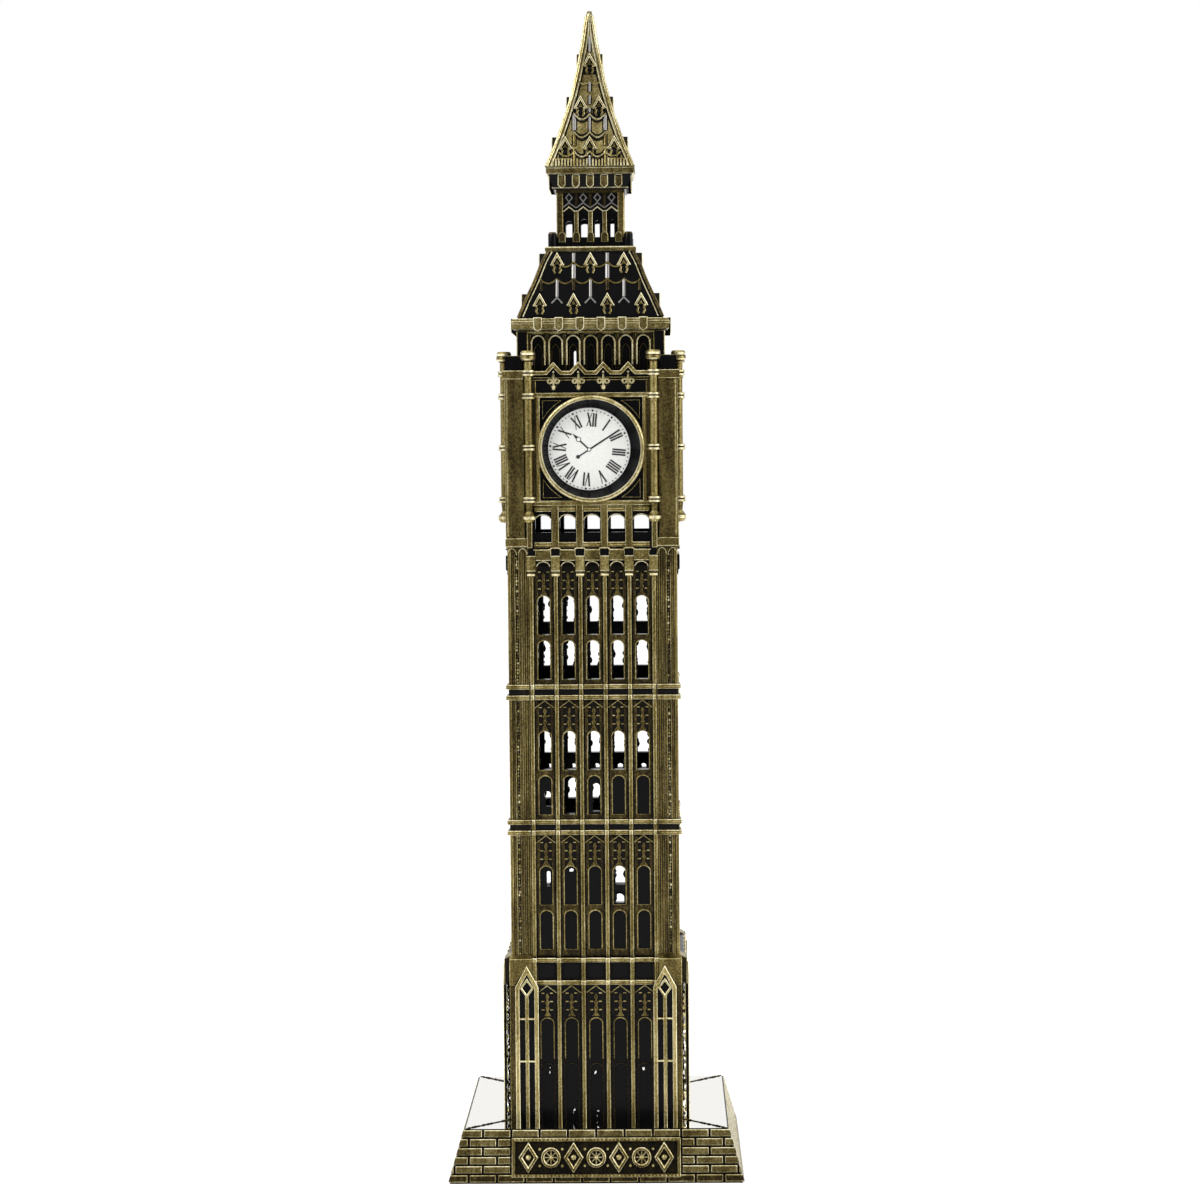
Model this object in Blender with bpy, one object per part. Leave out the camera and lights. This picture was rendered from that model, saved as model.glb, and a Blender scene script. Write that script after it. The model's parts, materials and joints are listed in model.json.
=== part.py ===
"""Souvenir model of a Gothic clock tower, die-cast in sections.

Four wall castings meet in mitred corners and carry a clock dial and bezel each. A belfry, a lower
roof, a lantern and a spire stack on top of them. A plate and a pad close the plinth from below.
Metres, +Z up, origin at the centre of the plinth's bottom, front towards -Y.
"""
import math

import bmesh
import bpy
from mathutils import Matrix, Vector

# Fits
GAP = 0.0003                 # clearance between two pieces that meet
EMBED = 0.0004               # how deep an ornament is rooted in the wall that carries it

# Plinth
PLINTH_LEDGE = 0.0056        # width of the ledge round the lower block
PLINTH_BATTER = 0.0023       # how far its faces lean out on the way down
PLINTH_HEIGHT = 0.0079
PLINTH_WALL = 0.0020
LEDGE_THICKNESS = 0.0016
PLAQUE_WIDTH = 0.0257
PLAQUE_HEIGHT = 0.0058
PLAQUE_PROUD = 0.0003

# Lower block
BLOCK_PIER_PROUD = 0.0014    # corner piers, in front of the shaft
BLOCK_PANEL_PROUD = 0.0009   # panels between them
BLOCK_CORNER_PROUD = 0.0003  # re-entrant corners
BLOCK_HEIGHT = 0.0253
BLOCK_BAND = 0.0036          # plain band below the block's top
BLOCK_WEATHERING = 0.0007

# Shaft
SHAFT_WIDTH = 0.0260
SHAFT_WALL = 0.0025
LIFT_HEIGHT = 0.0209         # one storey of panels with the string course above it
LIFT_COUNT = 3
STRING_HEIGHT = 0.0021
STRING_PROUD = 0.00045
BAY_COUNT = 5
BAY_PITCH = 0.00377
RIB_WIDTH = 0.0006
BAY_DEPTH = 0.0007
BAY_MARGIN = 0.0005          # plain wall above and below a bay
WINDOW_WIDTH = 0.0018
WINDOW_POINT = 0.0009        # rise of the pointed head
WINDOW_TIERS = ((0.0011, 0.0071), (0.0080, 0.0140))
PIERCED_LIFTS = (1, 2)

# Clock stage
CORBEL_HEIGHT = 0.0026
SILL_HEIGHT = 0.0015
SILL_PROUD = 0.0006
STAGE_PROUD = 0.00015
GALLERY_HEIGHT = 0.0063
GALLERY_OPENING = (0.0026, 0.0043)   # width and height of one blind arch
FIELD_OVERLAP = 0.0004       # how far the bezel covers the square panel's edge
FIELD_DEPTH = 0.0004
FRIEZE_HEIGHT = 0.0039
PARAPET_HEIGHT = 0.0009
PARAPET_PROUD = 0.00045
GABLE_SIZE = (0.0016, 0.0012)
GABLE_PITCH = 0.0038
GABLE_COUNT = 4
COLONNETTE_RADIUS = 0.00075
COLONNETTE_SPACE = 0.0006    # between it and the bezel
COLONNETTE_DROP = 0.0031     # how far it hangs below the dial panel
COLONNETTE_RISE = 0.0034     # how far it stands above the parapet

# Dial and bezel
DIAL_DIAMETER = 0.0127
DIAL_THICKNESS = 0.0004
DIAL_SEAT = 0.0010           # wall left behind the dial
BEZEL_MARGIN = 0.0011        # between dial and sleeve
BEZEL_LIP = 0.0008
BEZEL_SLEEVE = 0.00035
BEZEL_PROUD = 0.0006

# Belfry
BELFRY_SETBACK = 0.0016      # behind the shaft's faces
BELFRY_WALL = 0.0026
BELFRY_HEIGHT = 0.0077
FLANGE_THICKNESS = 0.0009
FLANGE_GRIP = 0.0008         # how far the flange reaches under the parapet's lip
EAVES_HEIGHT = 0.0018
EAVES_PROUD = 0.0007
ARCH_COUNT = 7
ARCH_PITCH = 0.0027
ARCH_RADIUS = 0.00098
ARCH_DEPTH = 0.0012
ARCH_MARGIN = 0.0010         # wall above the arches

# Lower roof
ROOF_SETBACK = 0.0010        # behind the eaves
ROOF_SPREAD = 0.00445        # how far each face leans out from head to foot
ROOF_FLARE = 0.0003          # bell-cast kick at the eaves
ROOF_HEIGHT = 0.0102
ROOF_WALL = 0.0016
ROOF_SKIRT = 0.0020
ROOF_CORNICE = (0.0004, 0.0008)          # how far it stands proud, and its height
ROOF_DORMERS = ((0.26, (-0.0078, -0.0026, 0.0026, 0.0078)), (0.86, (-0.0051, 0.0, 0.0051)))
DORMER_SIZE = (0.0018, 0.0030, 0.0006)   # width, height and how far it stands proud

# Lantern
LANTERN_SETBACK = 0.0018     # behind the roof's cornice
LANTERN_WALL = 0.0012
LANTERN_FLOOR = 0.0010
LANTERN_WALL_HEIGHT = 0.0086
LANTERN_ARCHES = 4
LANTERN_PITCH = 0.0022
LANTERN_OPENING = (0.0012, 0.0045)
LANTERN_SILL = 0.0013
BALUSTRADE_WALK = 0.0004     # between lantern and balustrade
BALUSTRADE_HEIGHT = 0.0021
BALUSTRADE_WALL = 0.0006
CORBELLING = (0.0004, 0.0012, 0.0022)    # proud below, proud above, height
SPIRE_CORNICE = (0.0016, 0.0012)         # proud, height
PEG_RADIUS = 0.0020
PEG_LENGTH = 0.0030

# Spire
SPIRE_SETBACK = 0.0002       # behind its cornice
SPIRE_TIP = 0.00035          # half its width
SPIRE_HEIGHT = 0.0245
SPIRE_POWER = 1.45           # above 1 the faces sweep in
SPIRE_PEG_RADIUS = 0.0014
SPIRE_PEG_LENGTH = 0.0022
SPIRE_LUCARNES = ((0.155, (-0.0036, 0.0, 0.0036)), (0.43, (-0.0014, 0.0014)), (0.70, (0.0,)))
LUCARNE_SIZE = (0.0016, 0.0030, 0.0005)

# Closing the plinth from below
PAD_THICKNESS = 0.0010
PLATE_THICKNESS = 0.0012
SCREW_HEAD = (0.0016, 0.0009)            # radius and height
SCREW_SHANK_RADIUS = 0.0009
SCREW_SETBACK = 0.0020       # from the lower block to the screws
SCREW_TIP_COVER = 0.0009     # metal left above a screw hole
BOSS_WIDTH = 0.0060
BOSS_REACH = 0.0019          # half its size across the wall

# Facets
SLEEVE_SEGMENTS = 28
ROUND_SEGMENTS = 12
SMALL_SEGMENTS = 8
ARCH_SEGMENTS = 6
SLOPE_STEPS = 6
SPIRE_STEPS = 10

BRASS = ("antique_brass", (0.42, 0.35, 0.17), 1.0, 0.38)
DIAL_WHITE = ("dial_card", (0.85, 0.85, 0.82), 0.0, 0.55)
STEEL = ("zinc_steel", (0.55, 0.56, 0.57), 1.0, 0.35)
RUBBER = ("black_rubber", (0.03, 0.03, 0.03), 0.0, 0.8)

# Half widths, each from the one it sits on
SHAFT = SHAFT_WIDTH / 2
BORE = SHAFT - SHAFT_WALL
BLOCK = SHAFT + BLOCK_PIER_PROUD
BLOCK_PANEL = SHAFT + BLOCK_PANEL_PROUD
BLOCK_CORNER = SHAFT + BLOCK_CORNER_PROUD
LEDGE = BLOCK + PLINTH_LEDGE
FOOT = LEDGE + PLINTH_BATTER
STAGE = SHAFT + STAGE_PROUD
BELFRY = SHAFT - BELFRY_SETBACK
BELFRY_BORE = BELFRY - BELFRY_WALL
EAVES = BELFRY + EAVES_PROUD
ROOF_FOOT = EAVES - ROOF_SETBACK
ROOF_HEAD = ROOF_FOOT - ROOF_SPREAD
ROOF_LEDGE = ROOF_HEAD + ROOF_CORNICE[0]
LANTERN = ROOF_LEDGE - LANTERN_SETBACK
LANTERN_BORE = LANTERN - LANTERN_WALL
BALUSTRADE = LANTERN + BALUSTRADE_WALK + BALUSTRADE_WALL
LANTERN_CORNICE = LANTERN + SPIRE_CORNICE[0]
SPIRE_FOOT = LANTERN_CORNICE - SPIRE_SETBACK
SCREW_OFFSET = BLOCK + SCREW_SETBACK

# The dial sets the size of all that frames it
BEZEL_BORE = DIAL_DIAMETER / 2 + BEZEL_MARGIN
BEZEL = BEZEL_BORE + BEZEL_LIP
SLEEVE = BEZEL_BORE + BEZEL_SLEEVE
DIAL_FIELD = 2 * (BEZEL - FIELD_OVERLAP)
COLONNETTE_OFFSET = BEZEL + COLONNETTE_SPACE + COLONNETTE_RADIUS

# Levels, stacked from the driving heights
BLOCK_TOP = PLINTH_HEIGHT + BLOCK_HEIGHT
LIFTS = [BLOCK_TOP + i * LIFT_HEIGHT for i in range(LIFT_COUNT)]
SILL_BOTTOM = BLOCK_TOP + LIFT_COUNT * LIFT_HEIGHT
SILL_TOP = SILL_BOTTOM + SILL_HEIGHT
FIELD_BOTTOM = SILL_TOP + GALLERY_HEIGHT
FIELD_TOP = FIELD_BOTTOM + DIAL_FIELD
DIAL_Z = (FIELD_BOTTOM + FIELD_TOP) / 2
PARAPET_TOP = FIELD_TOP + FRIEZE_HEIGHT
PARAPET_BOTTOM = PARAPET_TOP - PARAPET_HEIGHT
GROOVE_TOP = PARAPET_TOP - PARAPET_HEIGHT
GROOVE_BOTTOM = GROOVE_TOP - FLANGE_THICKNESS - 2 * GAP
FLANGE_BOTTOM = GROOVE_BOTTOM + GAP
FLANGE_TOP = FLANGE_BOTTOM + FLANGE_THICKNESS
EAVES_BOTTOM = FLANGE_TOP + BELFRY_HEIGHT
EAVES_TOP = EAVES_BOTTOM + EAVES_HEIGHT
ROOF_BOTTOM = EAVES_TOP + GAP
ROOF_TOP = ROOF_BOTTOM + ROOF_HEIGHT
CORNICE_TOP = ROOF_TOP + ROOF_CORNICE[1]
LANTERN_BOTTOM = CORNICE_TOP + GAP
LANTERN_WALL_TOP = LANTERN_BOTTOM + LANTERN_WALL_HEIGHT
CORBELLING_TOP = LANTERN_WALL_TOP + CORBELLING[2]
LANTERN_TOP = CORBELLING_TOP + SPIRE_CORNICE[1]
SPIRE_BOTTOM = LANTERN_TOP + GAP
SCREW_HEAD_BOTTOM = PAD_THICKNESS + GAP
PLATE_BOTTOM = SCREW_HEAD_BOTTOM + SCREW_HEAD[1] + GAP
PLATE_TOP = PLATE_BOTTOM + PLATE_THICKNESS
BOSS_BOTTOM = PLATE_TOP + GAP
LEDGE_BOTTOM = PLINTH_HEIGHT - LEDGE_THICKNESS
SCREW_HOLE_TOP = PLINTH_HEIGHT - SCREW_TIP_COVER

# Fits that several pieces share
HOLE_RADIUS = SCREW_SHANK_RADIUS + GAP
GROOVE = BELFRY + GAP + FLANGE_GRIP
SEAT_DEPTH = BORE + DIAL_SEAT
PIER_EDGE = BAY_COUNT * BAY_PITCH / 2 - RIB_WIDTH / 2


FACING = Matrix.Rotation(math.radians(90), 4, "X")     # from flat on the ground to facing -Y


def clear_scene():
    for obj in list(bpy.data.objects):
        bpy.data.objects.remove(obj, do_unlink=True)


def new_collection(name):
    collection = bpy.data.collections.new(name)
    bpy.context.scene.collection.children.link(collection)
    return collection


def new_material(name, colour, metallic, roughness):
    material = bpy.data.materials.new(name)
    material.use_nodes = True
    shader = material.node_tree.nodes["Principled BSDF"]
    shader.inputs["Base Color"].default_value = (*colour, 1.0)
    shader.inputs["Metallic"].default_value = metallic
    shader.inputs["Roughness"].default_value = roughness
    return material


def add_object(name, mesh, collection, material=None):
    obj = bpy.data.objects.new(name, mesh)
    collection.objects.link(obj)
    if material:
        mesh.materials.clear()
        mesh.materials.append(material)
    return obj


def finish_mesh(name, bm):
    bmesh.ops.recalc_face_normals(bm, faces=bm.faces)
    mesh = bpy.data.meshes.new(name)
    bm.to_mesh(mesh)
    bm.free()
    return mesh


def add_box(bm, low, high):
    size = [h - l for l, h in zip(low, high)]
    middle = [(h + l) / 2 for l, h in zip(low, high)]
    place = Matrix.Translation(middle) @ Matrix.Diagonal((*size, 1.0))
    bmesh.ops.create_cube(bm, size=1.0, matrix=place)


def add_rod(bm, radius, low, high, x=0.0, y=0.0, segments=ROUND_SEGMENTS):
    """Upright cylinder between two heights."""
    place = Matrix.Translation((x, y, (low + high) / 2))
    bmesh.ops.create_cone(bm, cap_ends=True, segments=segments, radius1=radius, radius2=radius,
                          depth=high - low, matrix=place)


def add_disc(bm, radius, near, far):
    """Cylinder facing -Y at the dial's height, between two distances from the axis."""
    place = Matrix.Translation((0, -(near + far) / 2, DIAL_Z)) @ FACING
    bmesh.ops.create_cone(bm, cap_ends=True, segments=SLEEVE_SEGMENTS, radius1=radius, radius2=radius,
                          depth=far - near, matrix=place)


def outline_mesh(name, points, thickness):
    """Flat outline in the XY plane, extruded to a slab centred on it."""
    curve = bpy.data.curves.new(name, "CURVE")
    curve.dimensions = "2D"
    curve.fill_mode = "BOTH"
    curve.extrude = thickness / 2
    spline = curve.splines.new("POLY")
    spline.points.add(len(points) - 1)
    for point, (x, y) in zip(spline.points, points):
        point.co = (x, y, 0.0, 1.0)
    spline.use_cyclic_u = True
    obj = bpy.data.objects.new(name, curve)
    bpy.context.scene.collection.objects.link(obj)
    mesh = bpy.data.meshes.new_from_object(obj.evaluated_get(bpy.context.evaluated_depsgraph_get()))
    bpy.data.objects.remove(obj)
    bm = bmesh.new()
    bm.from_mesh(mesh)
    bmesh.ops.remove_doubles(bm, verts=bm.verts, dist=1e-7)
    return finish_mesh(name, bm)


def add_outline(bm, points, near, far, x=0.0, z=0.0):
    """Outline drawn in the wall's own X and Z, pushed from one distance to another in front of it."""
    slab = outline_mesh("outline", points, far - near)
    slab.transform(Matrix.Translation((x, -(near + far) / 2, z)) @ FACING)
    bm.from_mesh(slab)
    bpy.data.meshes.remove(slab)


def square_turned(name, profile):
    """Square body from a profile of half widths and heights, both ends on the axis."""
    bm = bmesh.new()
    corner = math.sqrt(2)
    verts = [bm.verts.new((half * corner, 0.0, z)) for half, z in profile]
    edges = [bm.edges.new(pair) for pair in zip(verts, verts[1:])]
    bmesh.ops.spin(bm, geom=verts + edges, cent=(0, 0, 0), axis=(0, 0, 1), angle=2 * math.pi, steps=4)
    bmesh.ops.remove_doubles(bm, verts=bm.verts, dist=1e-6)
    to_square = Matrix.Rotation(math.radians(45), 3, "Z")
    bmesh.ops.rotate(bm, verts=bm.verts, cent=(0, 0, 0), matrix=to_square)
    return finish_mesh(name, bm)


def combine(target, mesh, operation, cutters):
    """Boolean of a mesh into an object."""
    cutter = add_object(f"{target.name}_{operation.lower()}", mesh, cutters)
    cutter.hide_render = True
    cutter.display_type = "WIRE"
    modifier = target.modifiers.new(operation.title(), "BOOLEAN")
    modifier.operation = operation
    modifier.object = cutter


def baked_mesh(obj):
    """The object's mesh with its modifiers applied, so that rotated copies can share it."""
    bpy.context.view_layer.update()
    mesh = bpy.data.meshes.new_from_object(obj.evaluated_get(bpy.context.evaluated_depsgraph_get()))
    bpy.data.objects.remove(obj)
    return mesh


def lancet(width, height):
    """Pointed window standing on its sill."""
    half = width / 2
    shoulder = height - WINDOW_POINT
    return [(-half, 0), (half, 0), (half, shoulder), (0, height), (-half, shoulder)]


def round_arch(width, height):
    """Round-headed opening standing on its sill."""
    half = width / 2
    head = [(half * math.cos(a), height - half + half * math.sin(a))
            for a in (math.pi * i / ARCH_SEGMENTS for i in range(ARCH_SEGMENTS + 1))]
    return [(-half, 0), (half, 0)] + head


def house(width, height):
    """Gabled outline standing on its foot."""
    half = width / 2
    return [(-half, 0), (half, 0), (half, height / 2), (0, height), (-half, height / 2)]


def spread(count, pitch):
    return [(i - (count - 1) / 2) * pitch for i in range(count)]


def plinth_half(z):
    """Outer half width of the plinth at a height."""
    return FOOT - PLINTH_BATTER * z / PLINTH_HEIGHT


def wall_profile():
    """Section of a wall casting: distance in front of the tower's axis against height."""
    outer = [(FOOT, 0), (LEDGE, PLINTH_HEIGHT), (BLOCK, PLINTH_HEIGHT),
             (BLOCK, BLOCK_TOP - BLOCK_WEATHERING), (SHAFT, BLOCK_TOP)]
    for lift in LIFTS[1:]:
        outer += [(SHAFT, lift - STRING_HEIGHT), (SHAFT + STRING_PROUD, lift - STRING_HEIGHT),
                  (SHAFT + STRING_PROUD, lift), (SHAFT, lift)]
    outer += [(SHAFT, SILL_BOTTOM - CORBEL_HEIGHT), (SHAFT + SILL_PROUD, SILL_BOTTOM),
              (SHAFT + SILL_PROUD, SILL_TOP), (STAGE, SILL_TOP), (STAGE, PARAPET_BOTTOM),
              (STAGE + PARAPET_PROUD, PARAPET_BOTTOM), (STAGE + PARAPET_PROUD, PARAPET_TOP)]
    lip = BELFRY + GAP
    inner = [(lip, PARAPET_TOP), (lip, GROOVE_TOP), (GROOVE, GROOVE_TOP),
             (GROOVE, GROOVE_BOTTOM), (BORE, GROOVE_BOTTOM), (BORE, LEDGE_BOTTOM),
             (plinth_half(LEDGE_BOTTOM) - PLINTH_WALL, LEDGE_BOTTOM), (plinth_half(0) - PLINTH_WALL, 0)]
    return outer + inner


def wall_blank():
    """The bare section, as long as the plinth is wide."""
    mesh = outline_mesh("wall", wall_profile(), 2 * FOOT)
    # The outline's X becomes the distance towards -Y, its Y becomes the height.
    upright = Matrix(((0, 0, -1, 0), (-1, 0, 0, 0), (0, 1, 0, 0), (0, 0, 0, 1)))
    mesh.transform(upright)
    return mesh


def add_block_cuts(bm):
    outside = 2 * FOOT
    for side in (-1, 1):
        edges = sorted((side * BLOCK_CORNER, side * outside))
        add_box(bm, (edges[0], -outside, PLINTH_HEIGHT), (edges[1], 0, BLOCK_TOP))
    add_box(bm, (-PIER_EDGE, -outside, PLINTH_HEIGHT + BAY_MARGIN),
            (PIER_EDGE, -BLOCK_PANEL, BLOCK_TOP - BLOCK_BAND))


def add_bay_cuts(bm, face, low, high):
    """Row of five shallow panels; face is the wall's distance from the axis."""
    half = (BAY_PITCH - RIB_WIDTH) / 2
    for x in spread(BAY_COUNT, BAY_PITCH):
        add_box(bm, (x - half, -face - GAP, low), (x + half, -face + BAY_DEPTH, high))


def add_window_cuts(bm, lift):
    for sill, head in WINDOW_TIERS:
        for x in spread(BAY_COUNT, BAY_PITCH):
            add_outline(bm, lancet(WINDOW_WIDTH, head - sill), BORE - GAP, SHAFT - BAY_DEPTH / 2,
                        x, lift + sill)


def add_gallery_cuts(bm):
    arch = round_arch(*GALLERY_OPENING)
    for x in spread(BAY_COUNT, BAY_PITCH):
        add_outline(bm, arch, STAGE - BAY_DEPTH, STAGE + GAP, x, SILL_TOP + GAP)


def add_dial_field(bm):
    half = DIAL_FIELD / 2
    add_box(bm, (-half, -STAGE - GAP, DIAL_Z - half), (half, -STAGE + FIELD_DEPTH, DIAL_Z + half))


def dial_bore():
    bm = bmesh.new()
    add_disc(bm, SLEEVE + GAP, SEAT_DEPTH, STAGE + GAP)
    return finish_mesh("dial_bore", bm)


def wall_relief():
    """Everything cut back from the wall's faces."""
    bm = bmesh.new()
    add_block_cuts(bm)
    bay_top = LIFT_HEIGHT - max(STRING_HEIGHT, CORBEL_HEIGHT) - BAY_MARGIN
    for lift in LIFTS:
        add_bay_cuts(bm, SHAFT, lift + BAY_MARGIN, lift + bay_top)
    add_gallery_cuts(bm)
    add_dial_field(bm)
    return finish_mesh("relief", bm)


def block_bays():
    bm = bmesh.new()
    add_bay_cuts(bm, BLOCK_PANEL, PLINTH_HEIGHT + 2 * BAY_MARGIN, BLOCK_TOP - BLOCK_BAND - BAY_MARGIN)
    return finish_mesh("block_bays", bm)


def wall_windows():
    bm = bmesh.new()
    for index in PIERCED_LIFTS:
        add_window_cuts(bm, LIFTS[index])
    return finish_mesh("windows", bm)


def wall_ornament():
    """Colonnettes beside the dial, gables on the parapet and the screw boss under the ledge."""
    bm = bmesh.new()
    for side in (-1, 1):
        add_rod(bm, COLONNETTE_RADIUS, FIELD_BOTTOM - COLONNETTE_DROP, PARAPET_TOP + COLONNETTE_RISE,
                side * COLONNETTE_OFFSET, -STAGE - COLONNETTE_RADIUS / 3, SMALL_SEGMENTS)
    half = GABLE_SIZE[0] / 2
    gable = [(-half, -EMBED), (half, -EMBED), (half, 0), (0, GABLE_SIZE[1]), (-half, 0)]
    for x in spread(GABLE_COUNT, GABLE_PITCH):
        add_outline(bm, gable, STAGE - PARAPET_PROUD, STAGE + PARAPET_PROUD / 2, x, PARAPET_TOP)
    add_box(bm, (-BOSS_WIDTH / 2, -SCREW_OFFSET - BOSS_REACH, BOSS_BOTTOM),
            (BOSS_WIDTH / 2, -SCREW_OFFSET + BOSS_REACH, LEDGE_BOTTOM + EMBED))
    return finish_mesh("ornament", bm)


def plaque_mesh():
    """Plate lying on the plinth's sloping face, rooted in it."""
    bm = bmesh.new()
    thickness = PLAQUE_PROUD + EMBED
    lean = math.atan2(PLINTH_BATTER, PLINTH_HEIGHT)
    add_box(bm, (-PLAQUE_WIDTH / 2, -PLAQUE_PROUD, -PLAQUE_HEIGHT / 2),
            (PLAQUE_WIDTH / 2, thickness - PLAQUE_PROUD, PLAQUE_HEIGHT / 2))
    middle = PLINTH_HEIGHT / 2
    place = Matrix.Translation((0, -plinth_half(middle), middle)) @ Matrix.Rotation(-lean, 4, "X")
    bmesh.ops.transform(bm, matrix=place, verts=bm.verts)
    return finish_mesh("plaque", bm)


def screw_hole():
    bm = bmesh.new()
    add_rod(bm, HOLE_RADIUS, BOSS_BOTTOM - GAP, SCREW_HOLE_TOP, 0, -SCREW_OFFSET)
    return finish_mesh("screw_hole", bm)


def mitre_wedge():
    """The quarter that one wall may fill, set back by half the joint at each corner plane."""
    joint = GAP / math.sqrt(2)
    reach = 2 * FOOT
    triangle = [(0, -joint), (-reach, -reach - joint), (reach, -reach - joint)]
    return outline_mesh("mitre", triangle, 3 * PARAPET_TOP)


def wall_mesh(cutters, plaque):
    wall = add_object("wall", wall_blank(), cutters)
    if plaque:
        combine(wall, plaque_mesh(), "UNION", cutters)
    combine(wall, wall_relief(), "DIFFERENCE", cutters)
    combine(wall, block_bays(), "DIFFERENCE", cutters)
    combine(wall, dial_bore(), "DIFFERENCE", cutters)
    combine(wall, wall_windows(), "DIFFERENCE", cutters)
    combine(wall, wall_ornament(), "UNION", cutters)
    combine(wall, screw_hole(), "DIFFERENCE", cutters)
    combine(wall, mitre_wedge(), "INTERSECT", cutters)
    return baked_mesh(wall)


def dial_mesh():
    bm = bmesh.new()
    back = SEAT_DEPTH + GAP
    add_disc(bm, DIAL_DIAMETER / 2, back, back + DIAL_THICKNESS)
    return finish_mesh("dial", bm)


def bezel_mesh():
    """Ring with a rounded lip in front of the wall and a thin sleeve in the bore."""
    outer = BEZEL
    inner = BEZEL_BORE
    back = -(STAGE + GAP)
    foot = -(SEAT_DEPTH + GAP)
    front = back - BEZEL_PROUD
    shoulder = BEZEL_PROUD / 3
    section = [(inner, front + shoulder), (inner + shoulder, front), (outer - shoulder, front),
               (outer, front + shoulder), (outer, back), (SLEEVE, back), (SLEEVE, foot),
               (inner, foot)]
    bm = bmesh.new()
    verts = [bm.verts.new((radius, y, 0)) for radius, y in section]
    edges = [bm.edges.new(pair) for pair in zip(verts, verts[1:] + verts[:1])]
    bmesh.ops.spin(bm, geom=verts + edges, cent=(0, 0, 0), axis=(0, 1, 0), angle=2 * math.pi,
                   steps=SLEEVE_SEGMENTS)
    bmesh.ops.remove_doubles(bm, verts=bm.verts, dist=1e-6)
    bmesh.ops.translate(bm, verts=bm.verts, vec=(0, 0, DIAL_Z))
    return finish_mesh("bezel", bm)


def quarter_turns():
    return [("front", 0), ("right", 90), ("back", 180), ("left", 270)]


def make_walls(parts, cutters, brass, white):
    """Four castings, each with its dial and bezel. The plaque is on the front alone."""
    meshes = {True: wall_mesh(cutters, True), False: wall_mesh(cutters, False)}
    dial = dial_mesh()
    bezel = bezel_mesh()
    for side, angle in quarter_turns():
        pieces = [add_object(f"wall_{side}", meshes[side == "front"], parts, brass),
                  add_object(f"bezel_{side}", bezel, parts, brass),
                  add_object(f"dial_{side}", dial, parts, white)]
        for piece in pieces:
            piece.rotation_euler.z = math.radians(angle)


def turned_copies(mesh_of):
    """A mesh made once per face of the tower."""
    bm = bmesh.new()
    for _, angle in quarter_turns():
        mesh = mesh_of()
        mesh.transform(Matrix.Rotation(math.radians(angle), 4, "Z"))
        bm.from_mesh(mesh)
        bpy.data.meshes.remove(mesh)
    return finish_mesh("copies", bm)


def belfry_arches():
    bm = bmesh.new()
    sill = PARAPET_TOP + GAP
    arch = round_arch(2 * ARCH_RADIUS, EAVES_BOTTOM - ARCH_MARGIN - sill)
    for x in spread(ARCH_COUNT, ARCH_PITCH):
        add_outline(bm, arch, BELFRY - ARCH_DEPTH, BELFRY + GAP, x, sill)
    return finish_mesh("arches", bm)


def make_belfry(parts, cutters, brass):
    flange = GROOVE - GAP
    profile = [(0, FLANGE_BOTTOM), (flange, FLANGE_BOTTOM), (flange, FLANGE_TOP), (BELFRY, FLANGE_TOP),
               (BELFRY, EAVES_BOTTOM), (EAVES, EAVES_BOTTOM), (EAVES, EAVES_TOP), (0, EAVES_TOP)]
    belfry = add_object("belfry", square_turned("belfry", profile), parts, brass)
    bm = bmesh.new()
    add_box(bm, (-BELFRY_BORE, -BELFRY_BORE, FLANGE_BOTTOM - GAP),
            (BELFRY_BORE, BELFRY_BORE, EAVES_TOP + GAP))
    combine(belfry, finish_mesh("bore", bm), "DIFFERENCE", cutters)
    combine(belfry, turned_copies(belfry_arches), "DIFFERENCE", cutters)


def roof_half(share):
    """Half width of the lower roof, from its foot at 0 to its head at 1."""
    return ROOF_FOOT - ROOF_SPREAD * share + ROOF_FLARE * (1 - share) ** 6


def spire_half(share):
    return SPIRE_TIP + (SPIRE_FOOT - SPIRE_TIP) * (1 - share) ** SPIRE_POWER


def slope_profile(half_of, bottom, height, steps):
    return [(half_of(i / steps), bottom + height * i / steps) for i in range(steps + 1)]


def add_dormers(bm, rows, size, half_of, bottom, height):
    """Small gabled dormers, each rooted in the slope behind it."""
    width, rise, proud = size
    for share, places in rows:
        z = bottom + height * share
        front = half_of(share) + proud
        back = half_of(min(1.0, share + rise / height)) - proud
        for x in places:
            add_outline(bm, house(width, rise), back, front, x, z - rise / 2)


def roof_dormers():
    bm = bmesh.new()
    add_dormers(bm, ROOF_DORMERS, DORMER_SIZE, roof_half, ROOF_BOTTOM, ROOF_HEIGHT)
    return finish_mesh("dormers", bm)


def make_roof(parts, cutters, brass):
    """Hollow lower roof with a skirt that drops into the belfry."""
    skirt = BELFRY_BORE - GAP
    skirt_bottom = ROOF_BOTTOM - ROOF_SKIRT
    profile = [(0, skirt_bottom), (skirt, skirt_bottom), (skirt, ROOF_BOTTOM)]
    profile += slope_profile(roof_half, ROOF_BOTTOM, ROOF_HEIGHT, SLOPE_STEPS)
    profile += [(ROOF_LEDGE, ROOF_TOP), (ROOF_LEDGE, CORNICE_TOP), (0, CORNICE_TOP)]
    roof = add_object("lower_roof", square_turned("lower_roof", profile), parts, brass)
    combine(roof, turned_copies(roof_dormers), "UNION", cutters)
    inside = skirt - ROOF_WALL
    top = ROOF_HEAD - 2 * ROOF_WALL
    hollow = [(0, skirt_bottom - GAP), (inside, skirt_bottom - GAP), (inside, ROOF_BOTTOM),
              (top, ROOF_TOP - ROOF_WALL), (0, ROOF_TOP - ROOF_WALL)]
    combine(roof, square_turned("hollow", hollow), "DIFFERENCE", cutters)
    bm = bmesh.new()
    add_rod(bm, PEG_RADIUS + GAP, ROOF_TOP - 2 * ROOF_WALL, CORNICE_TOP + GAP)
    combine(roof, finish_mesh("peg_hole", bm), "DIFFERENCE", cutters)


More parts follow.
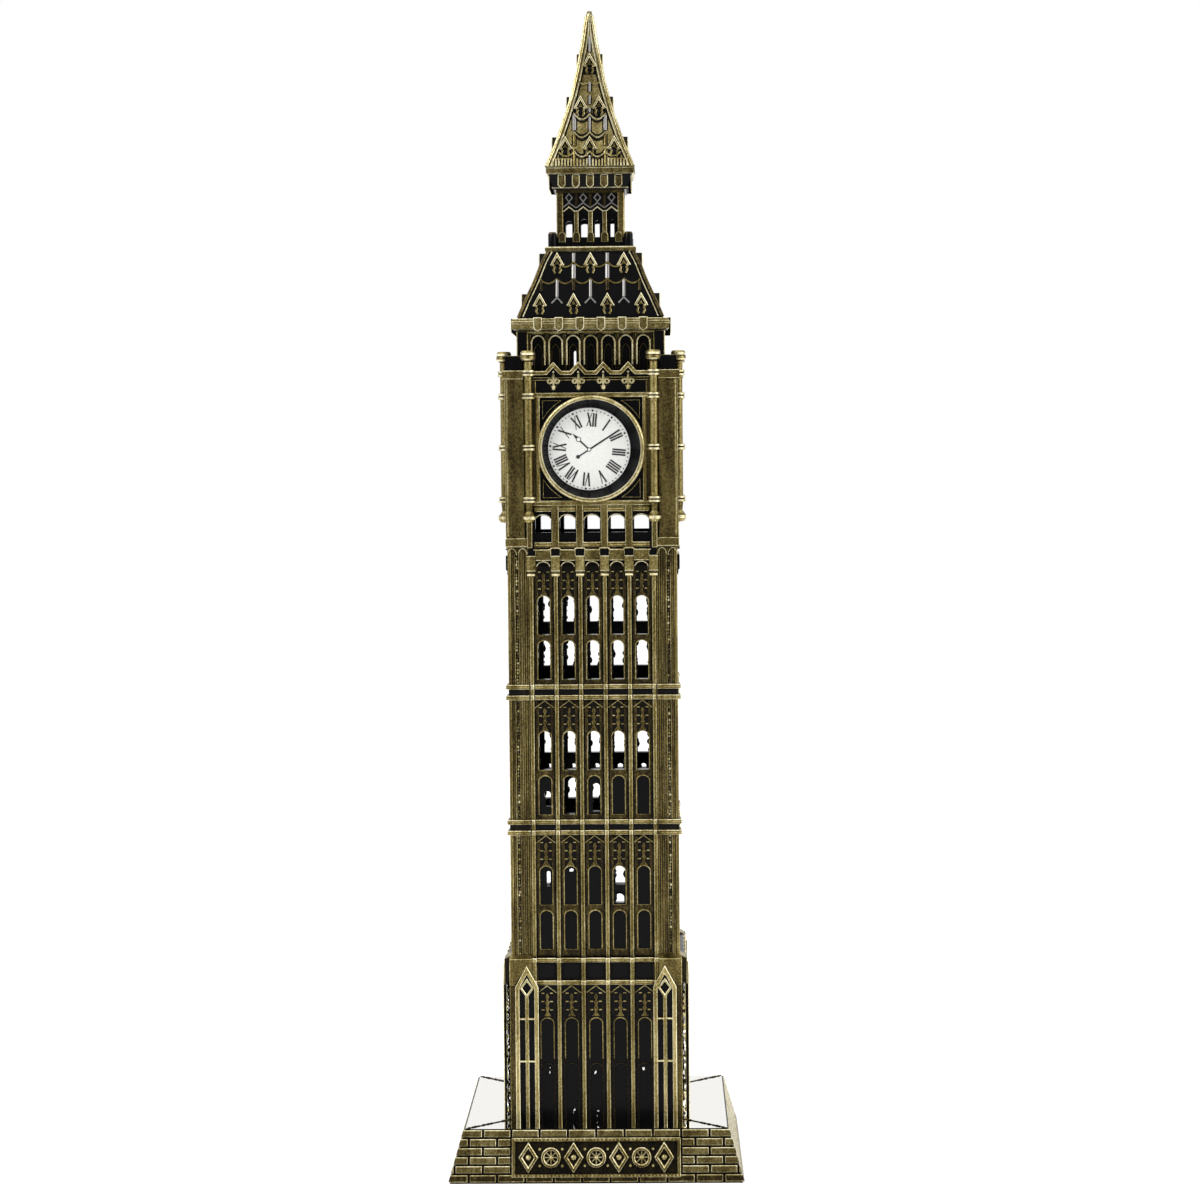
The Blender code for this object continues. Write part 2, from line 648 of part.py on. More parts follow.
def lantern_openings():
    bm = bmesh.new()
    width, height = LANTERN_OPENING
    for x in spread(LANTERN_ARCHES, LANTERN_PITCH):
        add_outline(bm, lancet(width, height), LANTERN_BORE - GAP, LANTERN + GAP, x,
                    LANTERN_BOTTOM + LANTERN_SILL)
    return finish_mesh("openings", bm)


def make_lantern(parts, cutters, brass):
    """Open lantern behind a balustrade, with its corbelled top and the cornice under the spire."""
    low, high, _ = CORBELLING
    floor = LANTERN_BOTTOM + LANTERN_FLOOR
    rail_top = LANTERN_BOTTOM + BALUSTRADE_HEIGHT
    walk = LANTERN + BALUSTRADE_WALK
    profile = [(0, LANTERN_BOTTOM), (BALUSTRADE, LANTERN_BOTTOM), (BALUSTRADE, rail_top), (walk, rail_top),
               (walk, floor), (LANTERN, floor), (LANTERN, LANTERN_WALL_TOP),
               (LANTERN + low, LANTERN_WALL_TOP), (LANTERN + high, CORBELLING_TOP),
               (LANTERN_CORNICE, CORBELLING_TOP), (LANTERN_CORNICE, LANTERN_TOP), (0, LANTERN_TOP)]
    lantern = add_object("lantern", square_turned("lantern", profile), parts, brass)
    bore = LANTERN_BORE
    bm = bmesh.new()
    add_box(bm, (-bore, -bore, floor), (bore, bore, LANTERN_WALL_TOP))
    combine(lantern, finish_mesh("bore", bm), "DIFFERENCE", cutters)
    combine(lantern, turned_copies(lantern_openings), "DIFFERENCE", cutters)
    bm = bmesh.new()
    add_rod(bm, SPIRE_PEG_RADIUS + GAP, LANTERN_TOP - SPIRE_PEG_LENGTH - GAP, LANTERN_TOP + GAP)
    combine(lantern, finish_mesh("spire_hole", bm), "DIFFERENCE", cutters)
    bm = bmesh.new()
    add_rod(bm, PEG_RADIUS, LANTERN_BOTTOM - PEG_LENGTH, LANTERN_BOTTOM + EMBED)
    combine(lantern, finish_mesh("peg", bm), "UNION", cutters)


def spire_lucarnes():
    bm = bmesh.new()
    add_dormers(bm, SPIRE_LUCARNES, LUCARNE_SIZE, spire_half, SPIRE_BOTTOM, SPIRE_HEIGHT)
    return finish_mesh("lucarnes", bm)


def make_spire(parts, cutters, brass):
    profile = [(0, SPIRE_BOTTOM)] + slope_profile(spire_half, SPIRE_BOTTOM, SPIRE_HEIGHT, SPIRE_STEPS)
    profile.append((0, SPIRE_BOTTOM + SPIRE_HEIGHT))
    spire = add_object("spire", square_turned("spire", profile), parts, brass)
    combine(spire, turned_copies(spire_lucarnes), "UNION", cutters)
    bm = bmesh.new()
    add_rod(bm, SPIRE_PEG_RADIUS, SPIRE_BOTTOM - SPIRE_PEG_LENGTH, SPIRE_BOTTOM + EMBED)
    combine(spire, finish_mesh("peg", bm), "UNION", cutters)


def make_plate(parts, cutters, steel):
    """Steel plate that ties the four castings together inside the plinth."""
    half = plinth_half(PLATE_TOP) - PLINTH_WALL - GAP
    bm = bmesh.new()
    add_box(bm, (-half, -half, PLATE_BOTTOM), (half, half, PLATE_TOP))
    plate = add_object("base_plate", finish_mesh("base_plate", bm), parts, steel)
    holes = bmesh.new()
    for _, angle in quarter_turns():
        x, y, _ = Matrix.Rotation(math.radians(angle), 3, "Z") @ Vector((0, -SCREW_OFFSET, 0))
        add_rod(holes, HOLE_RADIUS, PLATE_BOTTOM - GAP, PLATE_TOP + GAP, x, y)
    combine(plate, finish_mesh("holes", holes), "DIFFERENCE", cutters)


def make_screws(parts, cutters, steel):
    """Pan-head screws, each up through the plate into the boss of one casting."""
    radius, height = SCREW_HEAD
    for side, angle in quarter_turns():
        bm = bmesh.new()
        add_rod(bm, radius, SCREW_HEAD_BOTTOM, SCREW_HEAD_BOTTOM + height, 0, -SCREW_OFFSET)
        screw = add_object(f"screw_{side}", finish_mesh("screw", bm), parts, steel)
        shank = bmesh.new()
        add_rod(shank, SCREW_SHANK_RADIUS, SCREW_HEAD_BOTTOM + height / 2, SCREW_HOLE_TOP - GAP,
                0, -SCREW_OFFSET)
        combine(screw, finish_mesh("shank", shank), "UNION", cutters)
        for piece in (screw, screw.modifiers["Union"].object):
            piece.rotation_euler.z = math.radians(angle)


def make_pad(parts, rubber):
    half = plinth_half(PAD_THICKNESS) - PLINTH_WALL - GAP
    bm = bmesh.new()
    add_box(bm, (-half, -half, 0), (half, half, PAD_THICKNESS))
    add_object("base_pad", finish_mesh("base_pad", bm), parts, rubber)


def main():
    clear_scene()
    parts = new_collection("clock_tower_souvenir")
    cutters = new_collection("cutters")
    brass = new_material(*BRASS)
    white = new_material(*DIAL_WHITE)
    steel = new_material(*STEEL)
    rubber = new_material(*RUBBER)
    make_walls(parts, cutters, brass, white)
    make_belfry(parts, cutters, brass)
    make_roof(parts, cutters, brass)
    make_lantern(parts, cutters, brass)
    make_spire(parts, cutters, brass)
    make_plate(parts, cutters, steel)
    make_screws(parts, cutters, steel)
    make_pad(parts, rubber)


main()
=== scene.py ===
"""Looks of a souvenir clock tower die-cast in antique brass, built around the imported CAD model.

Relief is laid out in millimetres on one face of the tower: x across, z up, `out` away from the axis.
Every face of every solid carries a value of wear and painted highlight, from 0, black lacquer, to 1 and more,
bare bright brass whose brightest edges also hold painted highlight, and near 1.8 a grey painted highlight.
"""

import json
import math
import random

import bpy
from mathutils import Matrix, Vector

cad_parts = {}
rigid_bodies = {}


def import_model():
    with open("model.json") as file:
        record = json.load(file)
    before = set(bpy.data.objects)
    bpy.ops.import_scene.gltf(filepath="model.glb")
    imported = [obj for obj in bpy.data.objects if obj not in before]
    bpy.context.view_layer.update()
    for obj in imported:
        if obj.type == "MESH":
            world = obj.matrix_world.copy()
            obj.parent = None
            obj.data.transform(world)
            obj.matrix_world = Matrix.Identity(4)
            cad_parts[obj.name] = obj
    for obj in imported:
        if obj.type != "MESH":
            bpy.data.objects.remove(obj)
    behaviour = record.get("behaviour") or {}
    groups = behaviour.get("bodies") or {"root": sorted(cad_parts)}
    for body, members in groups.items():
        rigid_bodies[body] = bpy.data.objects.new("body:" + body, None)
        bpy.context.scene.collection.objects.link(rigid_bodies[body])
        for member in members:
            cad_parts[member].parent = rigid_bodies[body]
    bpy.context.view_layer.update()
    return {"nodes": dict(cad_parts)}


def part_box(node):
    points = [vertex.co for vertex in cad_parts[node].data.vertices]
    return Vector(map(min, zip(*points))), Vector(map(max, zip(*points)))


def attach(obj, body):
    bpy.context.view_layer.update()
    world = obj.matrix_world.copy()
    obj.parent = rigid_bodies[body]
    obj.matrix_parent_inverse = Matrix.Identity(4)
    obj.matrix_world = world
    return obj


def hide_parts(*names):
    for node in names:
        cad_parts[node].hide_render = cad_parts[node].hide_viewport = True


# Tones: wear of a raised solid's sides, its bevelled edges and its top; the bright edge values are partly
# rubbed brass, partly painted highlight
BLACK = (0.0, 0.12, 0.02)
DIM = (0.0, 0.55, 0.22)
SHADE = (0.05, 0.85, 0.48)
BRASS = (0.1, 1.15, 0.68)
BRIGHT = (0.3, 1.3, 1.0)
LINE = (0.2, 1.0, 1.25)
GREY_LINE = (0.1, 0.75, 0.95)
# Grey painted highlight, for the white that glossy black lacquer mirrors on rolls and lines
GREY_PAINTED_HIGHLIGHT = (0.0, 1.85, 1.85)
# The scale holds wear and painted highlight, and ends in polished metal.
MIRROR = 2.3     # wear of polished metal
WEAR_AND_SHEEN_TOP = 2.4   # end of the wear scale

# Colour at each wear: lacquer, brown, brass, bright edge that is partly rubbed brass and partly painted
# highlight, a grey painted highlight for the white mirrored in glossy black lacquer, and polished metal
BRASS_COLORS = (
    (0.0, (0.002, 0.002, 0.0025)), (0.25, (0.006, 0.005, 0.004)), (0.43, (0.026, 0.019, 0.008)),
    (0.6, (0.085, 0.063, 0.021)), (0.8, (0.185, 0.144, 0.048)), (1.03, (0.38, 0.315, 0.13)),
    (1.3, (0.80, 0.73, 0.48)), (1.6, (0.78, 0.73, 0.54)), (1.75, (0.20, 0.195, 0.185)),
    (1.95, (0.27, 0.262, 0.25)), (2.2, (0.86, 0.845, 0.81)))

# Levels, in millimetres above the ground
LEDGE_Z = 7.9
BLOCK_TOP = 33.2
LIFT = 20.9
LIFTS = (BLOCK_TOP, BLOCK_TOP + LIFT, BLOCK_TOP + 2 * LIFT)
STAGE_Z = 97.4
FIELD_Z = 103.7
PARAPET_Z = 123.3
LIP_Z = 120.9
BELFRY_Z = 121.3
EAVES_Z = 129.8
LANTERN_Z = 142.95
LANTERN_HEAD = 151.8

# Distances from the axis, of faces unless a note says otherwise
BORE = 10.5
ROOT = 12.0      # where relief starts, inside the wall
CORNER = 16.0    # past the mitre, which trims what reaches it
FOOT = 22.3
LEDGE = 20.0
BLOCK_PIER = 14.4
BLOCK_PANEL = 13.9
BLOCK_GROUND = 13.2
SHAFT = 13.0
SHAFT_GROUND = 12.3
STAGE = 13.15
BELFRY = 11.4
BELFRY_BORE = 8.8
LANTERN_BORE = 4.0

# Bays
PITCH = 3.77
BAYS = [(i - 2) * PITCH for i in range(5)]
RIBS = [(i - 2.5) * PITCH for i in range(6)]
PIER_X = 10.65
SIDES = (-1, 1)
WINDOW_HALF = 0.92
WINDOW_TIERS = ((1.1, 7.1), (8.0, 14.0))
# What flash left open: (bay, shift, sill, head, half width) in front, (sill, head, half width) elsewhere
FRONT_GAPS = (
    (0, 0.3, 56.4, 58.8, 0.5), (1, 0, 55.2, 61.2, 0.92), (2, 0.3, 55.6, 60.0, 0.55),
    (0, 0.35, 44.0, 46.4, 0.3), (1, 0.15, 46.1, 46.8, 0.35), (3, 0, 44.2, 47.2, 0.85),
    (3, 0, 41.4, 43.2, 0.68))
PLAIN_GAPS = (
    (83.8, 89.0, 0.92), (76.7, 81.3, 0.92), (62.6, 68.1, 0.92), (60.1, 60.8, 0.42), (55.2, 58.5, 0.92),
    (41.2, 47.2, 0.92))
BRICK = (4.32, 1.3)

# Dial
DIAL_Z = 111.55
DIAL_RADIUS = 6.35
CARD_SHIFT = 0.35    # the card was glued a little to the left
PRINT_TURN = 5.5     # and turned clockwise, in degrees
PRINT_LEVELS = [(0, 11.85), (0, 11.97)]
NUMERALS = ("XII", "I", "II", "III", "IIII", "V", "VI", "VII", "VIII", "IX", "X", "XI")

# Floor and camera: metres and degrees
FLOOR = 3.0
CAMERA = (0.00969, -0.4821, 0.10988)
CAMERA_YAW = 1.045
CAMERA_PITCH = 2.629
CAMERA_ROLL = -0.486
LENS = 91.66

SEAM = 0.005     # half the gap in a mitre
SMOOTH_ANGLE = 32
FACES = {"front": 0, "right": 90, "back": 180, "left": 270}


# ---- outlines and sections

def rect(left, right, low, high):
    return [(left, low), (right, low), (right, high), (left, high)]


def spread(count, pitch):
    """Places in a row, either side of the middle."""
    return [(i - (count - 1) / 2) * pitch for i in range(count)]


def column(x, half, low, high):
    return rect(x - half, x + half, low, high)


def beside(side, near, far, low, high):
    """A rectangle between two distances from the axis, on one side of it."""
    return rect(*sorted((side * near, side * far)), low, high)


def full_width(low, high):
    return rect(-CORNER, CORNER, low, high)


def level(x, half, z):
    """A level path centred on x."""
    return [(x - half, z), (x + half, z)]


def mirrored(points):
    """The same outline on the other side of the axis."""
    return [(-x, z) for x, z in reversed(points)]


def arch(x, spring, half, rise, power=2.0, steps=8):
    """Points over an arch from left to right; a power below 2 points its head."""
    shares = [-math.cos(math.pi * i / steps) for i in range(steps + 1)]
    return [(x + half * u, spring + rise * max(0.0, 1 - abs(u) ** power) ** 0.6) for u in shares]


def opening(x, low, high, half, rise):
    """Outline of a window with an arched head."""
    head = arch(x, high - rise, half, rise)
    return [(x - half, low), (x + half, low)] + head[::-1]


def full_turn(steps):
    return [2 * math.pi * i / steps for i in range(steps)]


def circle(x, z, radius, steps=12, stretch=1.0):
    return [(x + radius * math.cos(a), z + radius * stretch * math.sin(a)) for a in full_turn(steps)]


def shield(x, low, high, half, bulge=0.75):
    point = low + half * 0.95
    return [(x, low), (x + half * bulge, low + half * 0.42), (x + half, point), (x + half, high),
            (x - half, high), (x - half, point), (x - half * bulge, low + half * 0.42)]


def spindle(x, widths):
    """Outline mirrored about x from (z, half width) pairs that go up."""
    right = [(x + half, z) for z, half in widths]
    left = [(x - half, z) for z, half in reversed(widths)]
    return right + left


def inset(outline, by):
    """The outline moved inwards; it runs anticlockwise."""
    if not by:
        return outline
    count = len(outline)
    result = []
    for i, (x, z) in enumerate(outline):
        before = unit(outline[i - 1], (x, z))
        after = unit((x, z), outline[(i + 1) % count])
        share = by / max(0.35, 1 + before[0] * after[0] + before[1] * after[1])
        result.append((x - (before[1] + after[1]) * share, z + (before[0] + after[0]) * share))
    return result


def unit(start, end):
    x, z = end[0] - start[0], end[1] - start[1]
    length = math.hypot(x, z) or 1.0
    return x / length, z / length


def bar(width, base, top, chamfer):
    half = width / 2
    return [(-half, base), (-half, top - chamfer), (chamfer - half, top), (half - chamfer, top),
            (half, top - chamfer), (half, base)]


def grooved(width, base, top, groove=0.13):
    """A moulding with a sunk line along its middle."""
    half = width / 2
    edge = width * 0.17
    slot = width * 0.11
    return [(-half, base), (-half, top - edge), (edge - half, top), (-slot, top), (0, top - groove),
            (slot, top), (half - edge, top), (half, top - edge), (half, base)]


def roll(width, base, top):
    half = width / 2
    turn = [math.radians(a) for a in (-90, -50, -17, 17, 50, 90)]
    rounded = [(half * math.sin(a), top - half + half * math.cos(a)) for a in turn]
    return [(-half, base)] + rounded + [(half, base)]


# Values for the sides, bevelled edges and tops of a section; the bright edges carry painted highlight as well
# as wear.
def section_wear_and_sheen(section, tone):
    side, edge, flat = tone
    top = max(out for _, out in section)
    wears_and_sheens = []
    for (a, low), (b, high) in zip(section, section[1:] + section[:1]):
        if abs(low - high) < 1e-6:
            wears_and_sheens.append(flat if top - low < 0.6 else side)
        elif abs(a - b) < 1e-6:
            wears_and_sheens.append(side)
        else:
            wears_and_sheens.append(edge)
    return wears_and_sheens


def dense(path, step):
    """The path with points added so that no stretch is longer than step."""
    result = [path[0]]
    for (x0, z0), (x1, z1) in zip(path, path[1:]):
        count = max(1, math.ceil(math.hypot(x1 - x0, z1 - z0) / step))
        for i in range(1, count + 1):
            result.append((x0 + (x1 - x0) * i / count, z0 + (z1 - z0) * i / count))
    return result


def miters(path, closed):
    """Sideways direction at every point of a path, longer where it turns."""
    count = len(path)
    result = []
    for i in range(count):
        before = unit(path[i - 1], path[i]) if closed or i else unit(path[0], path[1])
        after = unit(path[i], path[(i + 1) % count]) if closed or i < count - 1 else before
        share = 1 / max(0.3, 1 + before[0] * after[0] + before[1] * after[1])
        result.append((-(before[1] + after[1]) * share, (before[0] + after[0]) * share))
    return result


def signed_volume(verts, faces):
    total = 0.0
    for face in faces:
        x0, y0, z0 = verts[face[0]]
        for i in range(1, len(face) - 1):
            x1, y1, z1 = verts[face[i]]
            x2, y2, z2 = verts[face[i + 1]]
            total += x0 * (y1 * z2 - y2 * z1) + y0 * (z1 * x2 - z2 * x1) + z0 * (x1 * y2 - x2 * y1)
    return total


class Relief:
    """Closed solids laid on one face of the tower; `half` gives the face's distance from the axis."""

    def __init__(self, half=lambda z: 0.0):
        self.half = half
        self.solids = []

    def put(self, x, z, out):
        return (x, -(self.half(z) + out), z)

    def skin(self, rings, wears_and_sheens, caps, closed=False, by_step=False):
        """A solid through rings of points, with a value of wear and painted highlight for each side of a ring
        or each step.
        """
        count = len(rings[0])
        verts = [point for ring in rings for point in ring]
        faces = []
        face_wear_and_sheen = []
        for step in range(len(rings) if closed else len(rings) - 1):
            here = step * count
            there = (step + 1) % len(rings) * count
            for side in range(count):
                after = (side + 1) % count
                faces.append((here + side, here + after, there + after, there + side))
                face_wear_and_sheen.append(wears_and_sheens[step if by_step else side])
        if not closed:
            faces.append(tuple(reversed(range(count))))
            faces.append(tuple(range(len(verts) - count, len(verts))))
            face_wear_and_sheen += caps
        if signed_volume(verts, faces) < 0:
            faces = [tuple(reversed(face)) for face in faces]
        self.solids.append((verts, faces, face_wear_and_sheen))

    def prism(self, outline, levels, wears_and_sheens):
        """An outline raised through (inset, out) levels; the last value of wear and painted highlight is that
        of its top.
        """
        rings = [[self.put(x, z, out) for x, z in inset(outline, by)] for by, out in levels]
        self.skin(rings, wears_and_sheens, [0.0, wears_and_sheens[-1]], by_step=True)

    def block(self, outline, base, top, tone, chamfer=0.09):
        self.prism(outline, [(0, base), (0, top - chamfer), (chamfer, top)], tone)

    def cut(self, outline, near, far):
        self.block(outline, near, far, BLACK)

    def panel(self, outline, base, top, rim, depth, tone, field=0.02):
        """A block whose face is sunk inside a rim."""
        side, edge, flat = tone
        levels = [(0, base), (0, top - 0.08), (0.08, top), (rim, top), (rim + 0.06, top - depth)]
        self.prism(outline, levels, [side, edge, flat, side, field])

    def sweep(self, path, section, tone, closed=False):
        rings = []
        for (x, z), (across, up) in zip(path, miters(path, closed)):
            rings.append([self.put(x + across * a, z + up * a, out) for a, out in section])
        self.skin(rings, section_wear_and_sheen(section, tone), [tone[0], tone[0]], closed)

    def moulding(self, path, width, base, top, tone=BRASS, closed=False):
        self.sweep(path, grooved(width, base, top), tone, closed)

    def line(self, path, width, base, top, tone=LINE, closed=False):
        self.sweep(path, bar(width, base, top, width * 0.28), tone, closed)

    def profile(self, left, right, points, tone):
        """An (out, z) profile drawn out from left to right."""
        section = [(z, out) for out, z in points]
        rings = [[self.put(x, z, out) for out, z in points] for x in (left, right)]
        self.skin(rings, section_wear_and_sheen(section, tone), [tone[0], tone[0]])

    def ring(self, points, tone):
        """An (out, z) profile run round all four sides of the tower."""
        wears_and_sheens = section_wear_and_sheen([(z, out) for out, z in points], tone)
        rings = [[(x * out, y * out, z) for out, z in points] for x, y in rect(-1, 1, -1, 1)]
        self.skin(rings, wears_and_sheens, [], True)

    def post(self, inner, outer, low, high, tone, chamfer=0.12):
        """A square post that stands at the tower's corner."""
        near, far = inner + chamfer, outer - chamfer
        plan = [(inner, near), (near, inner), (far, inner), (outer, near), (outer, far), (far, outer),
                (near, outer), (inner, far)]
        rings = [[(x, -y, z) for x, y in plan] for z in (low, high)]
        self.skin(rings, [tone[1], tone[2]] * 4, [tone[0], tone[2]])

    def lathe(self, x, out, points, wears_and_sheens, segments=12):
        """(radius, z) points turned about an upright axis."""
        rings = []
        for radius, z in points:
            rings.append([self.put(across, z, deep) for across, deep in circle(x, out, radius, segments)])
        self.skin(rings, wears_and_sheens, [wears_and_sheens[0], wears_and_sheens[-1]], by_step=True)

    def dome(self, x, z, radius, base, top, wear_and_sheen, stretch=1.0, steps=8):
        outline = circle(x, z, radius, steps, stretch)
        rise = (top - base) * 0.45
        levels = [(0, base), (0, top - rise), (radius * 0.25, top - rise * 0.3), (radius * 0.6, top)]
        self.prism(outline, levels, [wear_and_sheen * 0.4, wear_and_sheen, wear_and_sheen, wear_and_sheen * 1.1])


# ---- meshes

def new_mesh(name, solid):
    verts, faces, wears_and_sheens = solid
    mesh = bpy.data.meshes.new(name)
    mesh.from_pydata(verts, [], faces)
    mesh.attributes.new("wear_and_sheen", "FLOAT", "FACE").data.foreach_set("value", wears_and_sheens)
    return mesh


def new_object(name, data):
    """A new object in the scene."""
    made = bpy.data.objects.new(name, data)
    bpy.context.scene.collection.objects.link(made)
    return made


def combine(mesh, solids, operation):
    """The mesh joined with all these solids, or with all of them cut out of it."""
    body = new_object("body", mesh)
    tools = bpy.data.collections.new("tools")
    for solid in solids:
        tools.objects.link(bpy.data.objects.new("tool", new_mesh("tool", solid)))
    modifier = body.modifiers.new("combine", "BOOLEAN")
    modifier.operand_type = "COLLECTION"
    modifier.collection = tools
    modifier.solver = "MANIFOLD"
    modifier.operation = operation
    graph = bpy.context.evaluated_depsgraph_get()
    result = bpy.data.meshes.new_from_object(body.evaluated_get(graph))
    for tool in list(tools.objects):
        bpy.data.meshes.remove(tool.data)
    bpy.data.collections.remove(tools)
    bpy.data.meshes.remove(mesh)
    return result


def united(solids):
    first = new_mesh("body", solids[0])
    return combine(first, solids[1:], "UNION") if len(solids) > 1 else first


def turned(solids, degrees):
    turn = Matrix.Rotation(math.radians(degrees), 3, "Z")
    result = []
    for verts, faces, wears_and_sheens in solids:
        result.append(([tuple(turn @ Vector(v)) for v in verts], faces, wears_and_sheens))
    return result


def four_times(relief):
    solids = []
    for degrees in FACES.values():
        solids += turned(relief.solids, degrees)
    return solids


def add_piece(name, mesh, material, slot, *nodes):
    """A finished piece in metres that stands for the CAD nodes named."""
    mesh.transform(Matrix.Scale(0.001, 4))
    mesh.name = name
    mesh.shade_smooth()
    mesh.set_sharp_from_angle(angle=math.radians(SMOOTH_ANGLE))
    mesh.materials.clear()
    mesh.materials.append(material)
    piece = new_object(name, mesh)
    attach(piece, "root")
    if nodes:
        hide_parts(*nodes)


# ---- walls

def plinth_half(z):
    return FOOT + (LEDGE - FOOT) * z / LEDGE_Z


def lay_wall_body(wall):
    """The plain casting behind the relief."""
    wall.profile(-23, 23, [(FOOT, 0), (LEDGE, LEDGE_Z), (BORE, LEDGE_Z), (BORE, 6.3), (18.4, 6.3), (20.2, 0)],
                 (MIRROR, 0.2, 0.2))
    wall.block(full_width(LEDGE_Z - 0.4, 33.0), BORE, BLOCK_GROUND, BLACK)
    wall.block(full_width(32.5, 98.0), BORE, SHAFT_GROUND, BLACK)
    wall.block(full_width(97.0, LIP_Z), BORE, 12.6, BLACK)
    wall.block(full_width(LIP_Z - 0.3, PARAPET_Z - 0.1), 11.7, 12.9, BLACK)


def pierced_windows(front):
    """(x, sill, head, half width) of the openings; flash closed part of the lower ones."""
    found = []
    for x in BAYS:
        if front:
            for base in LIFTS[1:]:
                found.append((x, base + 8.0, base + 14.0, WINDOW_HALF))
            found.append((x, LIFTS[2] + 1.1, LIFTS[2] + 7.1, WINDOW_HALF))
        else:
            found += [(x, *gap) for gap in PLAIN_GAPS]
    if front:
        for bay, shift, low, high, half in FRONT_GAPS:
            found.append((BAYS[bay] + shift, low, high, half))
    else:
        found.append((0.3 - BAYS[3], 37.6, 39.6, 0.75))
    return found


def lay_flash(wall, front, rng):
    """Ragged metal left along the edges of the openings."""
    for x, low, high, half in pierced_windows(front):
        for i in range(int((high - low) / 0.5)):
            z = rng.uniform(low + 0.1, high - 0.5)
            side = rng.choice(SIDES)
            radius = rng.choice((0.1, 0.14, 0.2, 0.34)) * rng.uniform(0.7, 1.1)
            stretch = rng.uniform(1.0, 2.2)
            wall.dome(x + side * (half + 0.02), z, radius, 11.9, 12.28, 0.02, stretch, 6)


def lay_wall_cuts(cuts, front):
    """Openings right through the wall."""
    for x, low, high, half in pierced_windows(front):
        cuts.cut(opening(x, low, high, half, half * 0.85), 9, 16)
    for x in BAYS:
        cuts.cut(opening(x, STAGE_Z + 0.05, 101.45, 1.3, 0.95), 12.3, 16)
        cuts.cut(opening(x, 98.75, 101.4, 1.2, 0.7), 9, 16)
    cuts.cut(circle(0, DIAL_Z, 8.0, 48), 11.5, 16)


def lay_bricks(plinth, clear):
    """Six courses; the middle four stop at a plaque this far from the axis."""
    length, height = BRICK
    for row in range(6):
        top = LEDGE_Z - 0.14 - row * height
        shift = 0.5 if row % 2 == 0 else 0.0
        tone = (0.0, 1.2, 0.8) if row < 5 else (0.0, 1.0, 0.5)
        for i in range(-7, 7):
            left = (i + shift) * length - length / 2 + 0.18
            right = left + length - 0.36
            for start, end in visible_parts(left, right, clear if 0 < row < 5 else 0.0):
                plinth.block(rect(start, end, top - height + 0.3, top), -0.5, 0.3, tone, 0.1)


def visible_parts(left, right, clear):
    """What is left of a stretch outside the middle."""
    if not clear:
        return [(left, right)]
    parts = [(left, min(right, -clear)), (max(left, clear), right)]
    return [(start, end) for start, end in parts if end - start > 0.4]


def lay_plaque(plinth):
    """A framed panel with a plain row of lozenges, medallions and fillets."""
    plinth.panel(rect(-12.85, 12.85, 0.95, 6.65), -0.5, 0.5, 0.5, 0.4, (0.0, 1.1, 0.8), 0.3)
    for x in spread(43, 0.59):
        for z in (1.2, 6.4):
            plinth.dome(x, z, 0.2, 0.1, 0.62, 1.0, steps=6)
    for i in range(7):
        x = (i - 3) * 3.45
        if i % 2:
            lay_medallion(plinth, x, 3.8)
        else:
            lozenge = [(x, 2.0), (x + 1.2, 3.8), (x, 5.6), (x - 1.2, 3.8)]
            plinth.line(lozenge, 0.5, -0.1, 0.55, (0.0, 1.12, 0.72), True)
            plinth.dome(x, 3.8, 0.45, 0.0, 0.55, 0.95)
    for x in spread(6, 3.45):
        for z in (2.6, 5.0):
            plinth.dome(x, z, 0.24, 0.0, 0.45, 0.95)


def lay_medallion(plinth, x, z):
    plinth.line(circle(x, z, 1.25, 20), 0.46, -0.1, 0.55, (0.0, 1.12, 0.72), True)
    for eighth in range(8):
        a = math.radians(45 * eighth)
        tip = (x + 0.95 * math.cos(a), z + 0.95 * math.sin(a))
        plinth.line([(x, z), tip], 0.16, -0.1, 0.42, (0.0, 1.1, 0.7))
    plinth.dome(x, z, 0.36, 0.0, 0.6, 1.0)


def lay_rib(wall, x, low, high, top):
    wall.moulding([(x, low), (x, high)], 0.58, top - 0.9, top, (0.0, 1.05, 0.8))


def lay_window(wall, x, low, high, plane, line_tone):
    """Jambs and an arched head line round one window."""
    half = WINDOW_HALF
    head = arch(x, high - 0.75, half + 0.1, 0.8)
    wall.line([(x - half - 0.1, low)] + head + [(x + half + 0.1, low)], 0.2, plane - 0.7, plane, line_tone)


def lay_head_plate(wall, x, spring, top, plane, tone, half=WINDOW_HALF, rise=0.8, reach=1.4):
    """The wall between an arched head and the top of its bay."""
    head = arch(x, spring, half, rise)
    outline = [(x - reach, spring)] + head + [(x + reach, spring), (x + reach, top), (x - reach, top)]
    wall.block(outline, plane - 0.7, plane, tone, 0.05)


def lay_tracery(wall, x, low, plane, tone):
    """A stem with three waists that stands on the arch, between three pairs of dashes."""
    widths = [(0.0, 0.62), (0.35, 0.3), (0.8, 0.16), (1.25, 0.34), (1.65, 0.14), (2.1, 0.34), (2.55, 0.12),
              (3.0, 0.28), (3.5, 0.08)]
    wall.block(spindle(x, [(low + z, half) for z, half in widths]), plane - 0.5, plane + 0.16, tone, 0.05)
    for step in range(3):
        z = low + 1.0 + 1.3 * step
        for side in SIDES:
            centre = x + side * 0.66
            wall.block(rect(centre - 0.25, centre + 0.25, z - 0.11, z + 0.11), plane - 0.5, plane + 0.2,
                       GREY_LINE, 0.05)


def lay_jambs(wall, x, low, high, base, top, tone):
    for side in SIDES:
        wall.block(rect(*sorted((x + side * 0.95, x + side * 1.4)), low, high), base, top, tone, 0.05)


